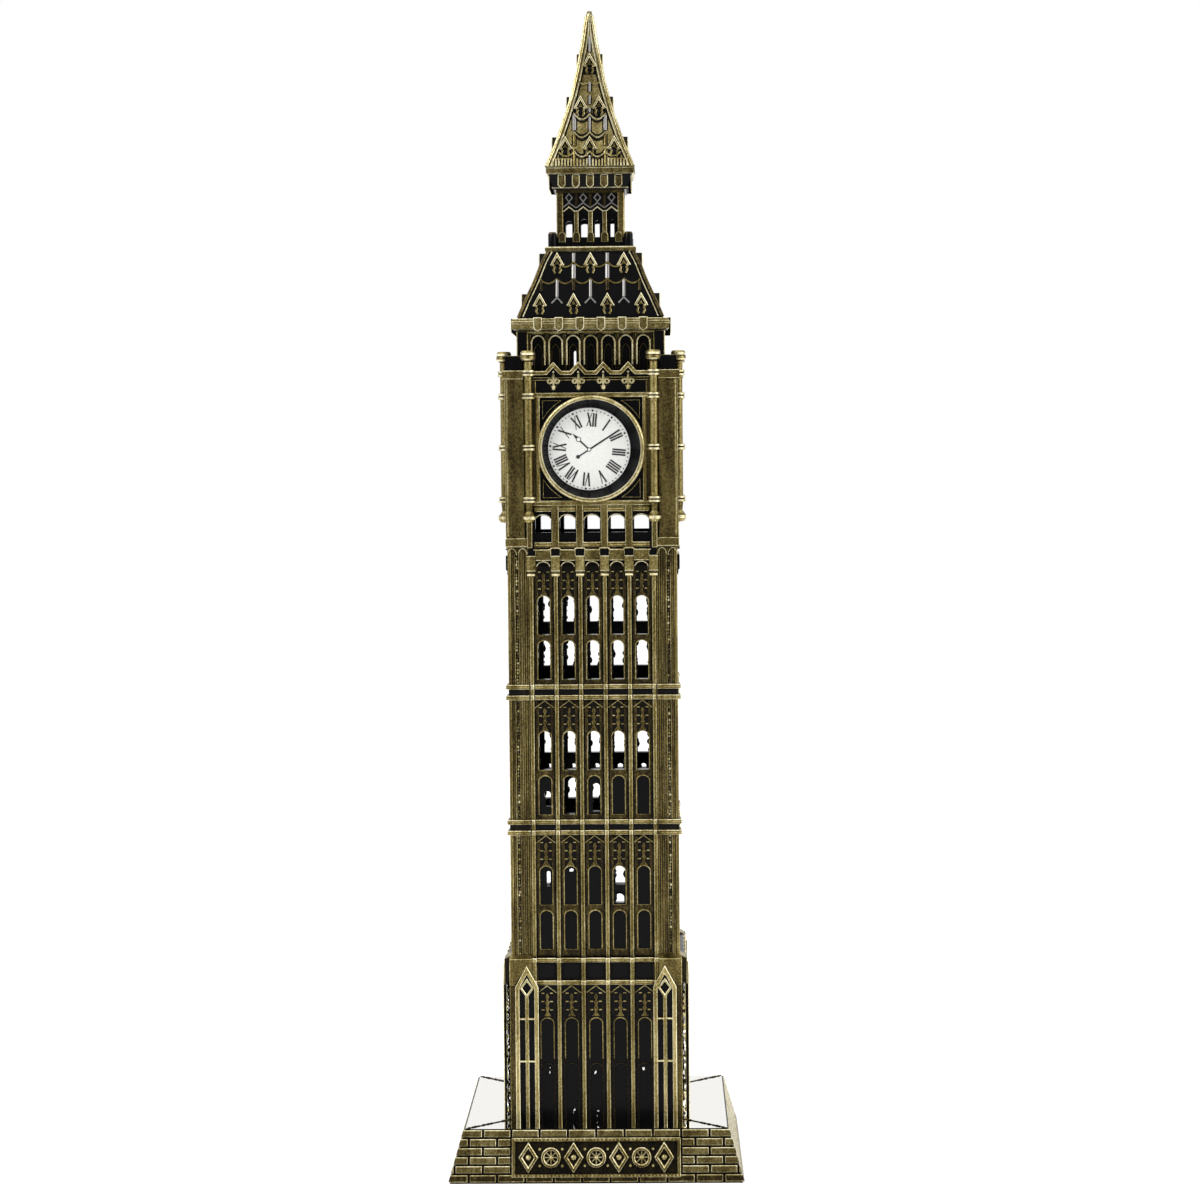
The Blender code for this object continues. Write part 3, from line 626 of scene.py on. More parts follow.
def lay_bay(wall, x, base, plane, tone):
    """One bay of a storey: two windows, a transom and a traceried head."""
    lay_jambs(wall, x, base, base + 18.6, plane - 0.7, plane, tone)
    for low, high in WINDOW_TIERS:
        lay_window(wall, x, base + low, base + high, plane + 0.06, GREY_LINE)
    low_head = base + WINDOW_TIERS[0][1]
    lay_head_plate(wall, x, low_head - 0.75, base + WINDOW_TIERS[1][0], plane, SHADE)
    wall.block(column(x, 1.4, base, base + WINDOW_TIERS[0][0]), plane - 0.7, plane, tone, 0.05)
    high_head = base + WINDOW_TIERS[1][1]
    lay_head_plate(wall, x, high_head - 0.75, base + 18.7, plane - 0.12, DIM)
    lay_tracery(wall, x, high_head + 0.1, plane - 0.1, (0.0, 0.8, 0.6))


def lay_chevron(wall, x, peak, plane):
    path = [(x - 1.47, peak - 1.1), (x, peak), (x + 1.47, peak - 1.1)]
    wall.line(path, 0.17, plane - 0.5, plane, GREY_LINE)


def lay_string(wall, z):
    """Two grooved bands round the shaft, broken beside every rib."""
    wall.block(full_width(z - 2.0, z + 0.35), ROOT, 12.75, BLACK)
    for low in (z - 2.0, z - 0.35):
        middle = low + 0.35
        for x in BAYS:
            wall.moulding(level(x, 1.45, middle), 0.72, ROOT, 13.2)
        for x in RIBS:
            wall.block(column(x, 0.3, middle - 0.36, middle + 0.36), ROOT, 13.35, BRIGHT, 0.12)
        for side in SIDES:
            path = sorted([(side * 9.85, middle), (side * 15.0, middle)])
            wall.moulding(path, 0.72, ROOT, 13.45)
    for side in SIDES:
        wall.block(beside(side, 9.8, CORNER, z - 1.4, z - 0.3), ROOT, 13.05, DIM)


def lay_shaft_pier(wall, side, low, high, rng):
    """Corner of the shaft: an outer roll, a twisted roll between flats, and three fine reeds."""
    def strip(start, end, top, tone, section=bar, *shape):
        middle = side * (start + end) / 2
        wall.sweep([(middle, low), (middle, high)], section(end - start, ROOT, top, *shape), tone)

    wall.block(beside(side, 9.7, CORNER, low, high), ROOT, 12.6, (0.0, 0.2, 0.12), 0.05)
    for x in (9.92, 10.27, 10.62):
        strip(x - 0.13, x + 0.13, 12.88, (0.0, 0.65, 0.72), roll)
    strip(10.85, 11.4, 12.85, (0.0, 1.1, 0.55), bar, 0.07)
    strip(11.92, 12.4, 12.88, (0.0, 1.1, 0.55), bar, 0.07)
    strip(12.5, 13.02, 13.05, (0.0, 0.75, 0.62), roll)
    count = int((high - low) / 0.5)
    for i in range(count):
        z = low + (i + 0.5) * (high - low) / count
        x = side * (11.66 + rng.uniform(-0.07, 0.07))
        wear_and_sheen = rng.choice((0.6, 0.8, 0.95, 1.2))
        wall.dome(x, z, 0.2 + rng.uniform(-0.05, 0.04), 12.4, 12.9, wear_and_sheen, 1.3, 6)


def lay_block_pier(wall, side):
    """Corner pier of the lower block with a tall gabled frame."""
    x = side * PIER_X
    wall.block(column(x, 1.75, LEDGE_Z - 0.3, 32.0), 12.5, 13.75, (0.35, 0.6, 0.03))
    wall.block(beside(side, 12.3, 13.3, LEDGE_Z - 0.3, 33.0), 12.5, 13.85, (0.0, 0.9, 0.5))
    over = [(PIER_X, 31.8), (12.45, 28.9), (13.3, 28.9), (13.3, 33.0), (9.75, 33.0), (9.75, 30.4)]
    wall.block(over if side > 0 else mirrored(over), 13.0, 14.15, (0.3, 1.0, 0.66))
    left, right, foot = x - 1.47, x + 1.47, LEDGE_Z - 0.2
    gable = [(left, foot), (left, 28.6), (x, 31.3), (right, 28.6), (right, foot)]
    wall.moulding(gable, 0.64, 13.0, BLOCK_PIER, (0.1, 1.25, 0.9))
    lozenge = [(x, 27.25), (x + 0.92, 28.5), (x, 29.75), (x - 0.92, 28.5)]
    wall.line(lozenge, 0.32, 13.0, 14.35, BRIGHT, True)
    wall.moulding([(x, LEDGE_Z - 0.2), (x, 27.3)], 0.56, 13.0, 14.3, (0.1, 1.2, 0.85))
    for z in (23.7, 17.1):
        wall.line(level(x, 1.2, z), 0.31, 13.0, 14.25, LINE)
    weathering = [(ROOT, 32.9), (14.15, 32.9), (13.05, 33.5), (ROOT, 33.5)]
    wall.profile(*sorted((side * 9.7, side * 13.3)), weathering, (0.5, 0.9, 0.7))


def lay_block_bay(wall, x):
    plane = 13.45
    lay_jambs(wall, x, LEDGE_Z - 0.2, 28.0, plane - 0.5, plane, (0.0, 0.5, 0.22))
    lay_head_plate(wall, x, 22.9, 28.9, plane - 0.1, BLACK)
    lay_window(wall, x, 17.4, 23.7, plane + 0.06, (0.0, 0.7, 0.8))
    lay_window(wall, x, LEDGE_Z, 16.6, plane, (0.0, 0.3, 0.35))
    lay_tracery(wall, x, 24.0, plane - 0.1, (0.0, 0.85, 0.62))
    lay_chevron(wall, x, 28.75, plane + 0.1)
    for middle in (29.25, 32.75):
        wall.moulding(level(x, 1.45, middle), 0.7, 13.0, 13.8)
    wall.panel(column(x, 1.4, 29.75, 32.3), 13.0, 13.42, 0.2, 0.1, (0.0, 0.4, 0.08))


def lay_lower_block(wall):
    for side in SIDES:
        lay_block_pier(wall, side)
    for x in RIBS:
        lay_rib(wall, x, LEDGE_Z - 0.2 if abs(x) < 9 else 29.0, 33.1, BLOCK_PANEL)
        for z in (29.25, 32.75):
            wall.block(column(x, 0.36, z - 0.34, z + 0.34), 13.0, 14.05, BRIGHT, 0.12)
    for x in BAYS:
        lay_block_bay(wall, x)


def lay_shaft(wall):
    rng = random.Random(5)
    for side in SIDES:
        for index, base in enumerate(LIFTS):
            low = base + (0.35 if index else 0.2)
            high = base + 18.9 if index < 2 else 96.6
            lay_shaft_pier(wall, side, low, high, rng)
    for x in RIBS:
        lay_rib(wall, x, 33.0, 92.8, SHAFT)
    for index, base in enumerate(LIFTS):
        for x in BAYS:
            lay_bay(wall, x, base, 12.62, (0.0, 0.75, 0.42))
            if index < 2:
                lay_chevron(wall, x, base + 18.75, 12.8)
    for base in LIFTS[1:]:
        lay_string(wall, base)


def lay_corbels(wall):
    """Brackets, the band between them and the rounded line over their notches."""
    wall.block(rect(-9.8, 9.8, 94.4, 97.6), 11.5, 13.0, BLACK)
    wall.block(full_width(96.3, 98.0), 11.5, 13.0, BLACK)
    for x in RIBS:
        slab = [(ROOT, 92.75), (13.2, 92.75), (13.45, 92.98), (13.45, 95.05), (13.3, 95.2), (ROOT, 95.2)]
        cup = [(ROOT, 92.0), (13.0, 92.0), (13.2, 92.15), (13.25, 92.4), (13.25, 92.65), (ROOT, 92.65)]
        wall.profile(x - 0.68, x + 0.68, slab, (0.1, 1.3, 0.85))
        wall.profile(x - 0.6, x + 0.6, cup, (0.1, 1.2, 0.6))
    for x in BAYS:
        wall.block(column(x, 1.2, 94.55, 96.05), ROOT, 13.2, BRASS)
        wall.line(level(x, 1.15, 94.5), 0.16, ROOT, 13.3, LINE)
        wall.line(arch(x, 93.55, 1.02, 0.75), 0.18, ROOT, 13.2, LINE)
        wall.moulding(level(x, 1.3, 96.85), 0.85, ROOT, 13.35)
    crest = [(-9.0, 96.1)]
    for x in RIBS[1:-1]:
        crest += [(x - 0.85, 96.1), (x - 0.6, 96.38), (x + 0.6, 96.38), (x + 0.85, 96.1)]
    wall.line(crest + [(9.0, 96.1)], 0.2, ROOT, 13.5, LINE)
    for side in SIDES:
        block = beside(side, 9.9, CORNER, 96.7, 97.9)
        wall.block(block, ROOT, 13.3, BRASS)
        wall.line(sorted([(side * 9.9, 96.62), (side * CORNER, 96.62)]), 0.16, ROOT, 13.3, LINE)
        for x in (10.7, 12.35):
            lay_head_plate(wall, side * x, 95.4, 96.6, 12.98, SHADE, 0.62, 0.9, 0.8)
            wall.line(arch(side * x, 95.4, 0.68, 0.95), 0.14, ROOT, 13.08, LINE)


def lay_gallery(wall):
    """Open arcade under the dial."""
    for x in RIBS[1:-1]:
        wall.block(column(x, 0.54, 96.4, FIELD_Z - 0.5), ROOT, 13.35, BRASS)
    for x in BAYS:
        wall.line(arch(x, 100.6, 1.3, 0.95), 0.18, ROOT, 13.0, LINE)
        wall.moulding(level(x, 1.25, 102.4), 0.85, ROOT, 13.3)
    for side in SIDES:
        wall.block(rect(side * 9.6 - 0.4, side * 9.6 + 0.4, 96.4, 100.9), ROOT, 13.4, BRASS)


def colonnette_profile():
    """(radius, z, value of wear and painted highlight) up the slender shaft beside the dial, with its rings
    and knobs.
    """
    points = [(0.05, 100.2, 0.6), (0.75, 100.35, 0.9), (1.08, 100.8, 1.2), (1.08, 101.25, 0.7),
              (0.75, 101.6, 0.9), (0.5, 102.0, 0.6)]
    for z in (103.8, 111.8, 119.7, 123.2):
        points += [(0.62, z - 0.5, 0.8), (0.98, z - 0.42, 1.2), (0.98, z - 0.12, 0.5), (0.82, z, 0.5),
                   (0.98, z + 0.12, 1.2), (0.98, z + 0.42, 0.9), (0.62, z + 0.5, 0.8)]
    return points + [(0.66, 124.2, 0.8), (0.62, 124.9, 0.5), (0.95, 125.15, 1.2), (1.18, 125.4, 0.8),
                     (1.18, 125.75, 0.4), (1.08, 125.95, 1.25), (1.14, 126.3, 0.9), (0.95, 126.6, 0.5),
                     (0.1, 126.65, 0.2)]


def lay_dial_frame(wall):
    field = 8.2
    square = rect(-field, field, DIAL_Z - field, DIAL_Z + field)
    wall.moulding(square, 0.6, ROOT, 13.3, BRASS, True)
    for side in SIDES:
        wall.block(beside(side, 8.45, 9.1, 102.9, 122.0), ROOT, 13.05, SHADE)
        for end in SIDES:
            corner = [(side * 7.45, DIAL_Z + end * 7.45)]
            for degrees in (32, 39, 45, 51, 58):
                a = math.radians(degrees)
                corner.append((side * 8.75 * math.cos(a), DIAL_Z + end * 8.75 * math.sin(a)))
            if side * end < 0:
                corner.reverse()
            wall.line(corner, 0.13, 12.2, 12.85, GREY_LINE, True)
    for z in (103.2, 119.85):
        wall.moulding(level(0, 9.0, z), 0.62, ROOT, 13.4)


def lay_crest(wall, x):
    """A stem with two round lobes and a drop, under the gable of the crest."""
    wall.block(column(x, 0.14, 121.0, 123.0), 12.5, 13.2, BRIGHT, 0.05)
    wall.dome(x, 120.95, 0.4, 12.5, 13.25, 1.1, 1.3)
    for side in SIDES:
        wall.line(circle(x + side * 0.56, 121.95, 0.33, 8), 0.24, 12.5, 13.2, (0.0, 1.2, 0.9), True)
        wall.dome(x + side * 0.4, 121.2, 0.18, 12.5, 13.1, 0.9, 1.0, 6)


def lay_parapet(wall):
    wall.block(rect(-9.2, 9.2, 120.1, 122.6), ROOT, 12.95, BLACK)
    for z in (122.12, 122.5):
        wall.line(level(0, 9.2, z), 0.15, ROOT, 13.1, GREY_LINE)
    path = [(-8.8, 123.2)]
    for x in spread(4, 3.82):
        lay_crest(wall, x)
        path += [(x - 1.15, 123.2), (x, 124.45), (x + 1.15, 123.2)]
        wall.block([(x - 1.0, 123.0), (x + 1.0, 123.0), (x, 124.3)], 12.5, 13.2, BLACK)
        wall.dome(x, 123.35, 0.24, 12.9, 13.45, 1.2)
    wall.moulding(path + [(8.8, 123.2)], 0.58, 12.2, 13.6)
    for side in SIDES:
        wall.block(beside(side, 10.35, CORNER, 122.3, 123.6), ROOT, 13.6, BRASS)
        wall.block(beside(side, 10.5, CORNER, 123.3, 125.9), 10.5, 13.1, (0.0, 0.6, 0.03))


def lay_stage(wall):
    for side in SIDES:
        pier = beside(side, 10.3, CORNER, 97.8, 122.4)
        wall.block(pier, ROOT, STAGE, (0.1, 1.0, 0.6))
        wall.line([(side * 12.9, 98.2), (side * 12.9, 122.2)], 0.24, 12.5, 13.25, (0.1, 1.0, 0.8))
        wall.block(beside(side, 9.0, 10.35, 97.8, 122.4), ROOT, 12.85, BLACK)
    lay_corbels(wall)
    lay_gallery(wall)
    lay_dial_frame(wall)
    lay_parapet(wall)
    profile = colonnette_profile()
    for side in SIDES:
        wall.lathe(side * 9.6, 13.45, [point[:2] for point in profile], [point[2] for point in profile])


def mitre_wedge():
    reach = 30.0
    plan = [(0.0, -SEAM), (reach - SEAM, -reach), (SEAM - reach, -reach)]
    low = [(x, y, -1.0) for x, y in plan]
    high = [(x, y, 190.0) for x, y in plan]
    wedge = Relief()
    wedge.skin([low, high], [0.05] * 3, [0.1, 0.1])
    return wedge.solids


def lay_solder(wall):
    """A ragged light line where the castings meet, up the lower block's corners and over the ledge."""
    rng = random.Random(11)
    for side in SIDES:
        heavy = 1.5 if side > 0 else 0.9
        for i in range(84):
            z = LEDGE_Z + 0.2 + i * 0.25
            radius = heavy * rng.uniform(0.1, 0.26)
            x = side * (13.55 + rng.uniform(-0.12, 0.16))
            wear_and_sheen = rng.choice((0.3, 1.0, 1.8, MIRROR, MIRROR))
            wall.dome(x, z, radius, 13.0, 13.5 + radius, wear_and_sheen, rng.uniform(1.0, 1.9), 6)
        for i in range(34):
            out = 13.6 + i * 0.19
            radius = heavy * rng.uniform(0.07, 0.17)
            z = LEDGE_Z + radius * 0.5
            points = [(radius, z - 0.3), (radius, z), (radius * 0.4, z + radius * 0.3)]
            wall.lathe(side * (out - 0.06), out, points, [0.1, 0.6, 1.2], 6)
    for x, z in ((-7.3, 15.6), (-0.2, 15.3), (7.2, 15.5), (-3.6, 9.0), (0.2, 8.7)):
        for _ in range(3):
            wall.dome(x + rng.uniform(-0.25, 0.25), z + rng.uniform(-0.5, 0.5), 0.16, 13.0, 13.5,
                      MIRROR, rng.uniform(1.2, 2.4), 6)


def wall_mesh(front):
    body = Relief()
    lay_wall_body(body)
    wall = Relief()
    lay_lower_block(wall)
    lay_shaft(wall)
    lay_stage(wall)
    plinth = Relief(plinth_half)
    lay_bricks(plinth, 13.1 if front else 0.0)
    if front:
        lay_plaque(plinth)
    cuts = Relief()
    lay_wall_cuts(cuts, front)
    ragged = Relief()
    lay_flash(ragged, front, random.Random(3))
    lay_solder(ragged)
    mesh = united(body.solids + wall.solids + plinth.solids)
    mesh = combine(mesh, cuts.solids, "DIFFERENCE")
    mesh = combine(mesh, ragged.solids, "UNION")
    return combine(mesh, mitre_wedge(), "INTERSECT")


# ---- dials

def ring_mesh(z):
    """Bezel: a rounded brass lip round a black conical well, which follows the card's small shift."""
    points = [(6.42, 11.94, 0.0), (7.5, 13.35, 0.1), (7.56, 13.58, 1.25), (7.7, 13.74, 0.95),
              (7.95, 13.76, 1.1), (8.12, 13.66, 1.3), (8.22, 13.5, 0.9), (8.22, 13.2, 0.2), (7.8, 13.1, 0.1),
              (7.8, 11.6, 0.1)]
    ring = Relief()
    rings = []
    for a in full_turn(96):
        rings.append([ring.put(r * math.cos(a) - (CARD_SHIFT if r < 7 else 0), z + r * math.sin(a), out)
                      for r, out, _ in points])
    ring.skin(rings, [wear_and_sheen for _, _, wear_and_sheen in points], [], True)
    return united(ring.solids)


def radial(angle, across, along, centre):
    """A point `along` outwards at a clockwise angle from twelve, `across` to its right."""
    a = math.radians(angle)
    x, z = centre
    return (x + along * math.sin(a) + across * math.cos(a), z + along * math.cos(a) - across * math.sin(a))


def lay_stroke(ink, angle, start, end, width, centre):
    """A straight stroke between two (across, along) points."""
    (u0, v0), (u1, v1) = start, end
    du, dv = unit(start, end)
    corners = [(u0 - dv * width / 2, v0 + du * width / 2), (u0 + dv * width / 2, v0 - du * width / 2),
               (u1 + dv * width / 2, v1 - du * width / 2), (u1 - dv * width / 2, v1 + du * width / 2)]
    ink.prism([radial(angle, u, v, centre) for u, v in corners], PRINT_LEVELS, [0, 0])


def lay_numeral(ink, text, angle, centre):
    low, high = 3.55, 5.62
    widths = {"I": 0.38, "V": 0.85, "X": 0.85}
    u = -sum(widths[letter] for letter in text) / 2
    for letter in text:
        width = widths[letter]
        middle = u + width / 2
        if letter == "I":
            lay_stroke(ink, angle, (middle, low), (middle, high), 0.25, centre)
        if letter == "V":
            lay_stroke(ink, angle, (u + 0.1, high), (middle, low), 0.25, centre)
            lay_stroke(ink, angle, (u + width - 0.08, high), (middle, low), 0.11, centre)
        if letter == "X":
            lay_stroke(ink, angle, (u + 0.1, high), (u + width - 0.1, low), 0.25, centre)
            lay_stroke(ink, angle, (u + width - 0.08, high), (u + 0.08, low), 0.11, centre)
        u += width


def lay_hands(ink, centre):
    minute, hour = 57.4, -45.9
    for angle, end, width in ((minute, 5.6, 0.26), (minute + 180, 2.0, 0.22), (hour, 1.95, 0.25)):
        lay_stroke(ink, angle, (0, 0.25), (0, end), width, centre)
    lay_disc(ink, radial(minute + 180, 0, 2.05, centre), 0.3)
    lay_ring(ink, radial(hour, 0, 2.26, centre), 0.36)
    tip = [(-0.26, 2.55), (0.26, 2.55), (0, 3.6)]
    ink.prism([radial(hour, u, v, centre) for u, v in tip], PRINT_LEVELS, [0, 0])
    lay_ring(ink, centre, 0.28)


def lay_disc(ink, centre, radius):
    ink.prism(circle(*centre, radius, 12), PRINT_LEVELS, [0, 0])


def lay_ring(ink, centre, radius):
    ink.line(circle(*centre, radius, 16), 0.1, 11.85, 11.97, BLACK, True)


def print_mesh(z):
    """Numerals, minute dots and hands printed on the dial."""
    centre = (-CARD_SHIFT, z - 0.1)
    ink = Relief()
    for minute in range(60):
        angle = minute * 6 + PRINT_TURN
        lay_disc(ink, radial(angle, 0, 6.0, centre), 0.17 if minute % 5 == 0 else 0.1)
    for hour, text in enumerate(NUMERALS):
        lay_numeral(ink, text, hour * 30 + PRINT_TURN, centre)
    lay_hands(ink, centre)
    return united(ink.solids)


def face_mesh(z):
    card = Relief()
    outline = circle(-CARD_SHIFT, z, DIAL_RADIUS, 72)
    card.prism(outline, [(0, 11.5), (0, 11.86), (0.06, 11.92)], [0, 0, 0])
    return united(card.solids)


# ---- belfry

def lay_belfry_face(face):
    face.post(9.65, BELFRY, BELFRY_Z, 129.6, (0.0, 1.0, 0.04))
    for x in spread(8, 2.7):
        face.moulding([(x, BELFRY_Z + 0.3), (x, 125.2)], 0.6, 10.0, 11.15, DIM)
        face.moulding([(x, 125.2), (x, 129.2)], 0.44, 10.0, 11.2, SHADE)
    for x in spread(7, 2.7):
        lay_belfry_arch(face, x)


def lay_belfry_arch(face, x):
    head = arch(x, 128.0, 1.0, 1.0, 2.0, 10)
    face.line([(x - 1.0, 124.5)] + head + [(x + 1.0, 124.5)], 0.24, 10.0, 11.35, (0.0, 1.1, 1.15))
    inner = arch(x, 126.7, 0.6, 1.0, 1.3, 6)
    face.line([(x - 0.6, 122.5)] + inner + [(x + 0.6, 122.5)], 0.13, 10.0, 10.9, (0.0, 0.4, 0.5))
    lay_head_plate(face, x, 127.9, 129.5, 11.12, (0.0, 0.45, 0.14), 1.0, 1.0, 1.36)
    face.line(level(x, 0.9, 129.3), 0.13, 10.0, 11.25, GREY_LINE)


def lay_eaves(rings):
    points = [(9.0, 129.8), (11.75, 129.8), (12.05, 130.05), (12.05, 130.75), (12.2, 130.9), (12.2, 131.12),
              (12.02, 131.25), (12.02, 131.5), (11.9, 131.6), (9.0, 131.6)]
    rings.ring(points, (0.15, 1.2, 0.85))


def belfry_mesh():
    face = Relief()
    lay_belfry_face(face)
    for x in spread(6, 3.24):
        face.panel(shield(x, 129.6, 131.75, 0.66), 11.5, 12.4, 0.16, 0.06, (0.1, 1.3, 1.25), 0.85)
    rings = Relief()
    rings.ring(rect(BELFRY_BORE, 10.5, BELFRY_Z, EAVES_Z + 0.4), BLACK)
    rings.ring(rect(9.0, 11.3, 129.4, 129.65), (0.1, 0.8, 0.9))
    lay_eaves(rings)
    slit = Relief()
    slit.cut(opening(-2.45, 124.3, 126.7, 0.2, 0.3), 8.0, 12.5)
    slit.cut(rect(-3.5, -2.4, 124.5, 127.6), -12.5, -8.0)
    return combine(united(rings.solids + four_times(face)), slit.solids, "DIFFERENCE")


# ---- roof, lantern and spire

ROOF_SHAPE = ((131.65, 11.2), (132.1, 11.05), (134.5, 10.03), (137.5, 8.68), (140.2, 7.67), (142.3, 6.6))
SPIRE_SHAPE = ((155.2, 6.8), (157.7, 5.8), (159.7, 5.0), (164.6, 3.4), (168.0, 2.5), (171.5, 1.75),
               (175.0, 1.1), (178.4, 0.62), (180.0, 0.35))
SPIRE_ROLLS = ((155.5, 157.0), (160.9, 163.2), (163.9, 164.6), (165.2, 166.6), (167.2, 168.8), (173.5, 176.0))
SPIRE_TIP = [(0.4, 178.0), (0.62, 178.6), (0.6, 179.3), (0.35, 179.85), (0.1, 180.0)]


def along(shape, z):
    """Half width of a roof at a height, from its (z, half width) points."""
    for (z0, h0), (z1, h1) in zip(shape, shape[1:]):
        if z <= z1:
            return h0 + (h1 - h0) * (z - z0) / (z1 - z0)
    return shape[-1][1]


def roof_half(z):
    return along(ROOF_SHAPE, z)


def spire_half(z):
    return along(SPIRE_SHAPE, z)


def square_tower(half, heights, wear_and_sheen):
    """A solid of square section with this half width at each height."""
    solid = Relief()
    rings = [[(x * half(z), y * half(z), z) for x, y in rect(-1, 1, -1, 1)] for z in heights]
    solid.skin(rings, [wear_and_sheen] * 4, [0.0, wear_and_sheen])
    return solid.solids


def beside_hip(half, side, within, low, high, steps=14):
    """A path down a sloping face, this far inside its edge."""
    heights = [low + (high - low) * i / steps for i in range(steps + 1)]
    return [(side * max(0.12, half(z) - within), z) for z in heights]


def lay_hip(face, half, low, high, tone, inner_tone):
    """Two ribs down each edge of a sloping face."""
    for side in SIDES:
        face.sweep(beside_hip(half, side, 0.1, low, high), roll(0.46, -0.4, 0.22), tone)
        face.line(beside_hip(half, side, 0.72, low, high), 0.17, -0.4, 0.16, inner_tone)


def lay_gablet(face, flat, half, x, low):
    """A dormer with an upright front: a gable with curled feet over two jambs."""
    front = half(low) + 0.1
    flat.block(level(x, 0.75, low) + [(x, low + 1.5)], half(low + 1.6) - 0.8, front, (0.0, 0.3, 0.05))
    gable = [(x - 0.42, low - 0.12), (x - 0.86, low + 0.06), (x, low + 1.62), (x + 0.86, low + 0.06),
             (x + 0.42, low - 0.12)]
    flat.line(gable, 0.34, front - 1.2, front + 0.22, BRIGHT)
    pane = level(x, 0.34, low + 0.12) + [(x, low + 0.78)]
    flat.block(pane, front - 0.6, front + 0.16, (0.0, 0.9, 0.7), 0.05)
    for side in SIDES:
        foot = [(x + side * 0.3, low - 1.3), (x + side * 0.56, low - 0.8), (x + side * 0.4, low - 0.25)]
        face.line(dense(foot, 0.5), 0.28, -0.3, 0.24, (0.0, 0.95, 0.7))
    face.dome(x, low - 0.6, 0.2, -0.2, 0.1, 0.02, 1.6, 6)


def lay_swag(face, x0, x1, z, sag, tone):
    """A cord that hangs between two points of equal height."""
    shares = [i / 8 for i in range(9)]
    path = [(x0 + (x1 - x0) * share, z - sag * 4 * share * (1 - share)) for share in shares]
    face.line(path, 0.22, -0.3, 0.22, tone)


def lay_roll(face, x, low, high, width, tone):
    face.sweep(dense([(x, low), (x, high)], 0.8), roll(width, -0.4, 0.26), tone)
    for side in SIDES:
        crease = x + side * (width / 2 + 0.09)
        face.line([(crease, low), (crease, high)], 0.15, -0.3, 0.06, BLACK)


def lay_roof_face(face, flat):
    lay_hip(face, roof_half, 131.9, 142.2, (0.1, 0.6, 0.45), (0.0, 1.1, 1.3))
    for x in (-7.8, -2.6, 2.6, 7.8):
        lay_gablet(face, flat, roof_half, x, 133.6)
    # Grey painted highlight on the grey rolls and chevrons below.
    for x in (-5.15, 0.0, 5.15):
        lay_gablet(face, flat, roof_half, x, 140.0)
        lay_roll(face, x, 135.0, 137.7, 0.5, GREY_PAINTED_HIGHLIGHT)
        face.line([(x - 0.85, 134.0), (x, 134.9), (x + 0.85, 134.0)], 0.24, -0.3, 0.2, GREY_PAINTED_HIGHLIGHT)
    for x in (-2.6, 2.6):
        lay_roll(face, x, 140.5, 141.9, 0.6, GREY_PAINTED_HIGHLIGHT)
        lay_roll(face, x, 137.9, 140.1, 0.75, GREY_PAINTED_HIGHLIGHT)
        lay_roll(face, x, 136.0, 137.6, 0.6, (0.0, 0.4, 0.3))
    for x in (-7.6, 7.6):
        lay_roll(face, x, 135.9, 137.4, 0.5, (0.0, 0.4, 0.3))
    for count, z, tone in ((4, 140.5, (0.0, 0.8, 0.75)), (6, 137.9, (0.0, 0.7, 0.6))):
        for i in range(count):
            x = (i - count / 2) * 2.6
            lay_swag(face, x, x + 2.6, z, 0.8, tone)


def lay_cornice(rings, low, high, half):
    back = half - 2.0
    points = [(back, low), (half - 0.25, low), (half, low + 0.18), (half, high - 0.2), (half - 0.12, high),
              (back, high)]
    rings.ring(points, (0.3, 1.2, 0.75))


def roof_mesh():
    face = Relief(roof_half)
    flat = Relief()
    lay_roof_face(face, flat)
    rings = Relief()
    lay_cornice(rings, 142.1, 142.9, 7.05)
    heights = [z for z, _ in ROOF_SHAPE]
    core = square_tower(roof_half, heights, 0.02)
    return united(core + rings.solids + four_times(face) + four_times(flat))


def lay_lantern_face(face):
    face.post(4.25, 5.25, LANTERN_Z, LANTERN_HEAD, (0.1, 0.9, 0.62))
    for x in spread(3, 2.2):
        face.block(column(x, 0.33, LANTERN_Z, 148.6), 4.0, 5.1, (0.05, 1.1, 0.68))
        face.block(column(x, 0.3, 149.0, LANTERN_HEAD), 4.0, 5.0, (0.0, 0.9, 0.45))
    for x in spread(4, 2.2):
        lay_lantern_head(face, x)


def lay_lantern_head(face, x):
    """Two chevrons and a lozenge over one opening."""
    # The upper chevron and the grey lozenge are painted highlight.
    face.line([(x - 1.08, 149.0), (x, 149.8), (x + 1.08, 149.0)], 0.2, 4.4, 5.2, GREY_PAINTED_HIGHLIGHT)
    face.line([(x - 1.1, 148.5), (x - 0.8, 148.5), (x, 149.15), (x + 0.8, 148.5), (x + 1.1, 148.5)],
              0.2, 4.4, 5.25, (0.2, 1.1, 1.4))
    lozenge = [(x, 149.95), (x + 0.5, 150.6), (x, 151.25), (x - 0.5, 150.6)]
    face.line(lozenge, 0.2, 4.4, 5.1, (0.0, 1.8, 1.8), True)


def lay_balustrade(face):
    for x in spread(5, 2.2):
        merlon = level(x, 0.55, 143.6) + arch(x, 144.7, 0.55, 0.55)[::-1]
        face.panel(merlon, 5.6, 6.2, 0.12, 0.05, (0.0, 0.9, 1.0), 0.5)
        face.block(column(x, 0.5, LANTERN_Z, 143.6), 5.5, 6.15, BLACK)
    face.lathe(-5.9, 5.9, [(0.68, LANTERN_Z), (0.68, 144.9), (0.5, 145.2)], [0.03, 0.5, 0.1])


def lay_corbel_table(face):
    """Shields on a spreading band under the spire."""
    for x in spread(5, 2.2):
        outline = shield(x, 151.9, 154.1, 0.6, 0.52)
        face.panel(outline, 5.3, 6.42, 0.14, 0.08, (0.0, 1.1, 1.25), 0.62)


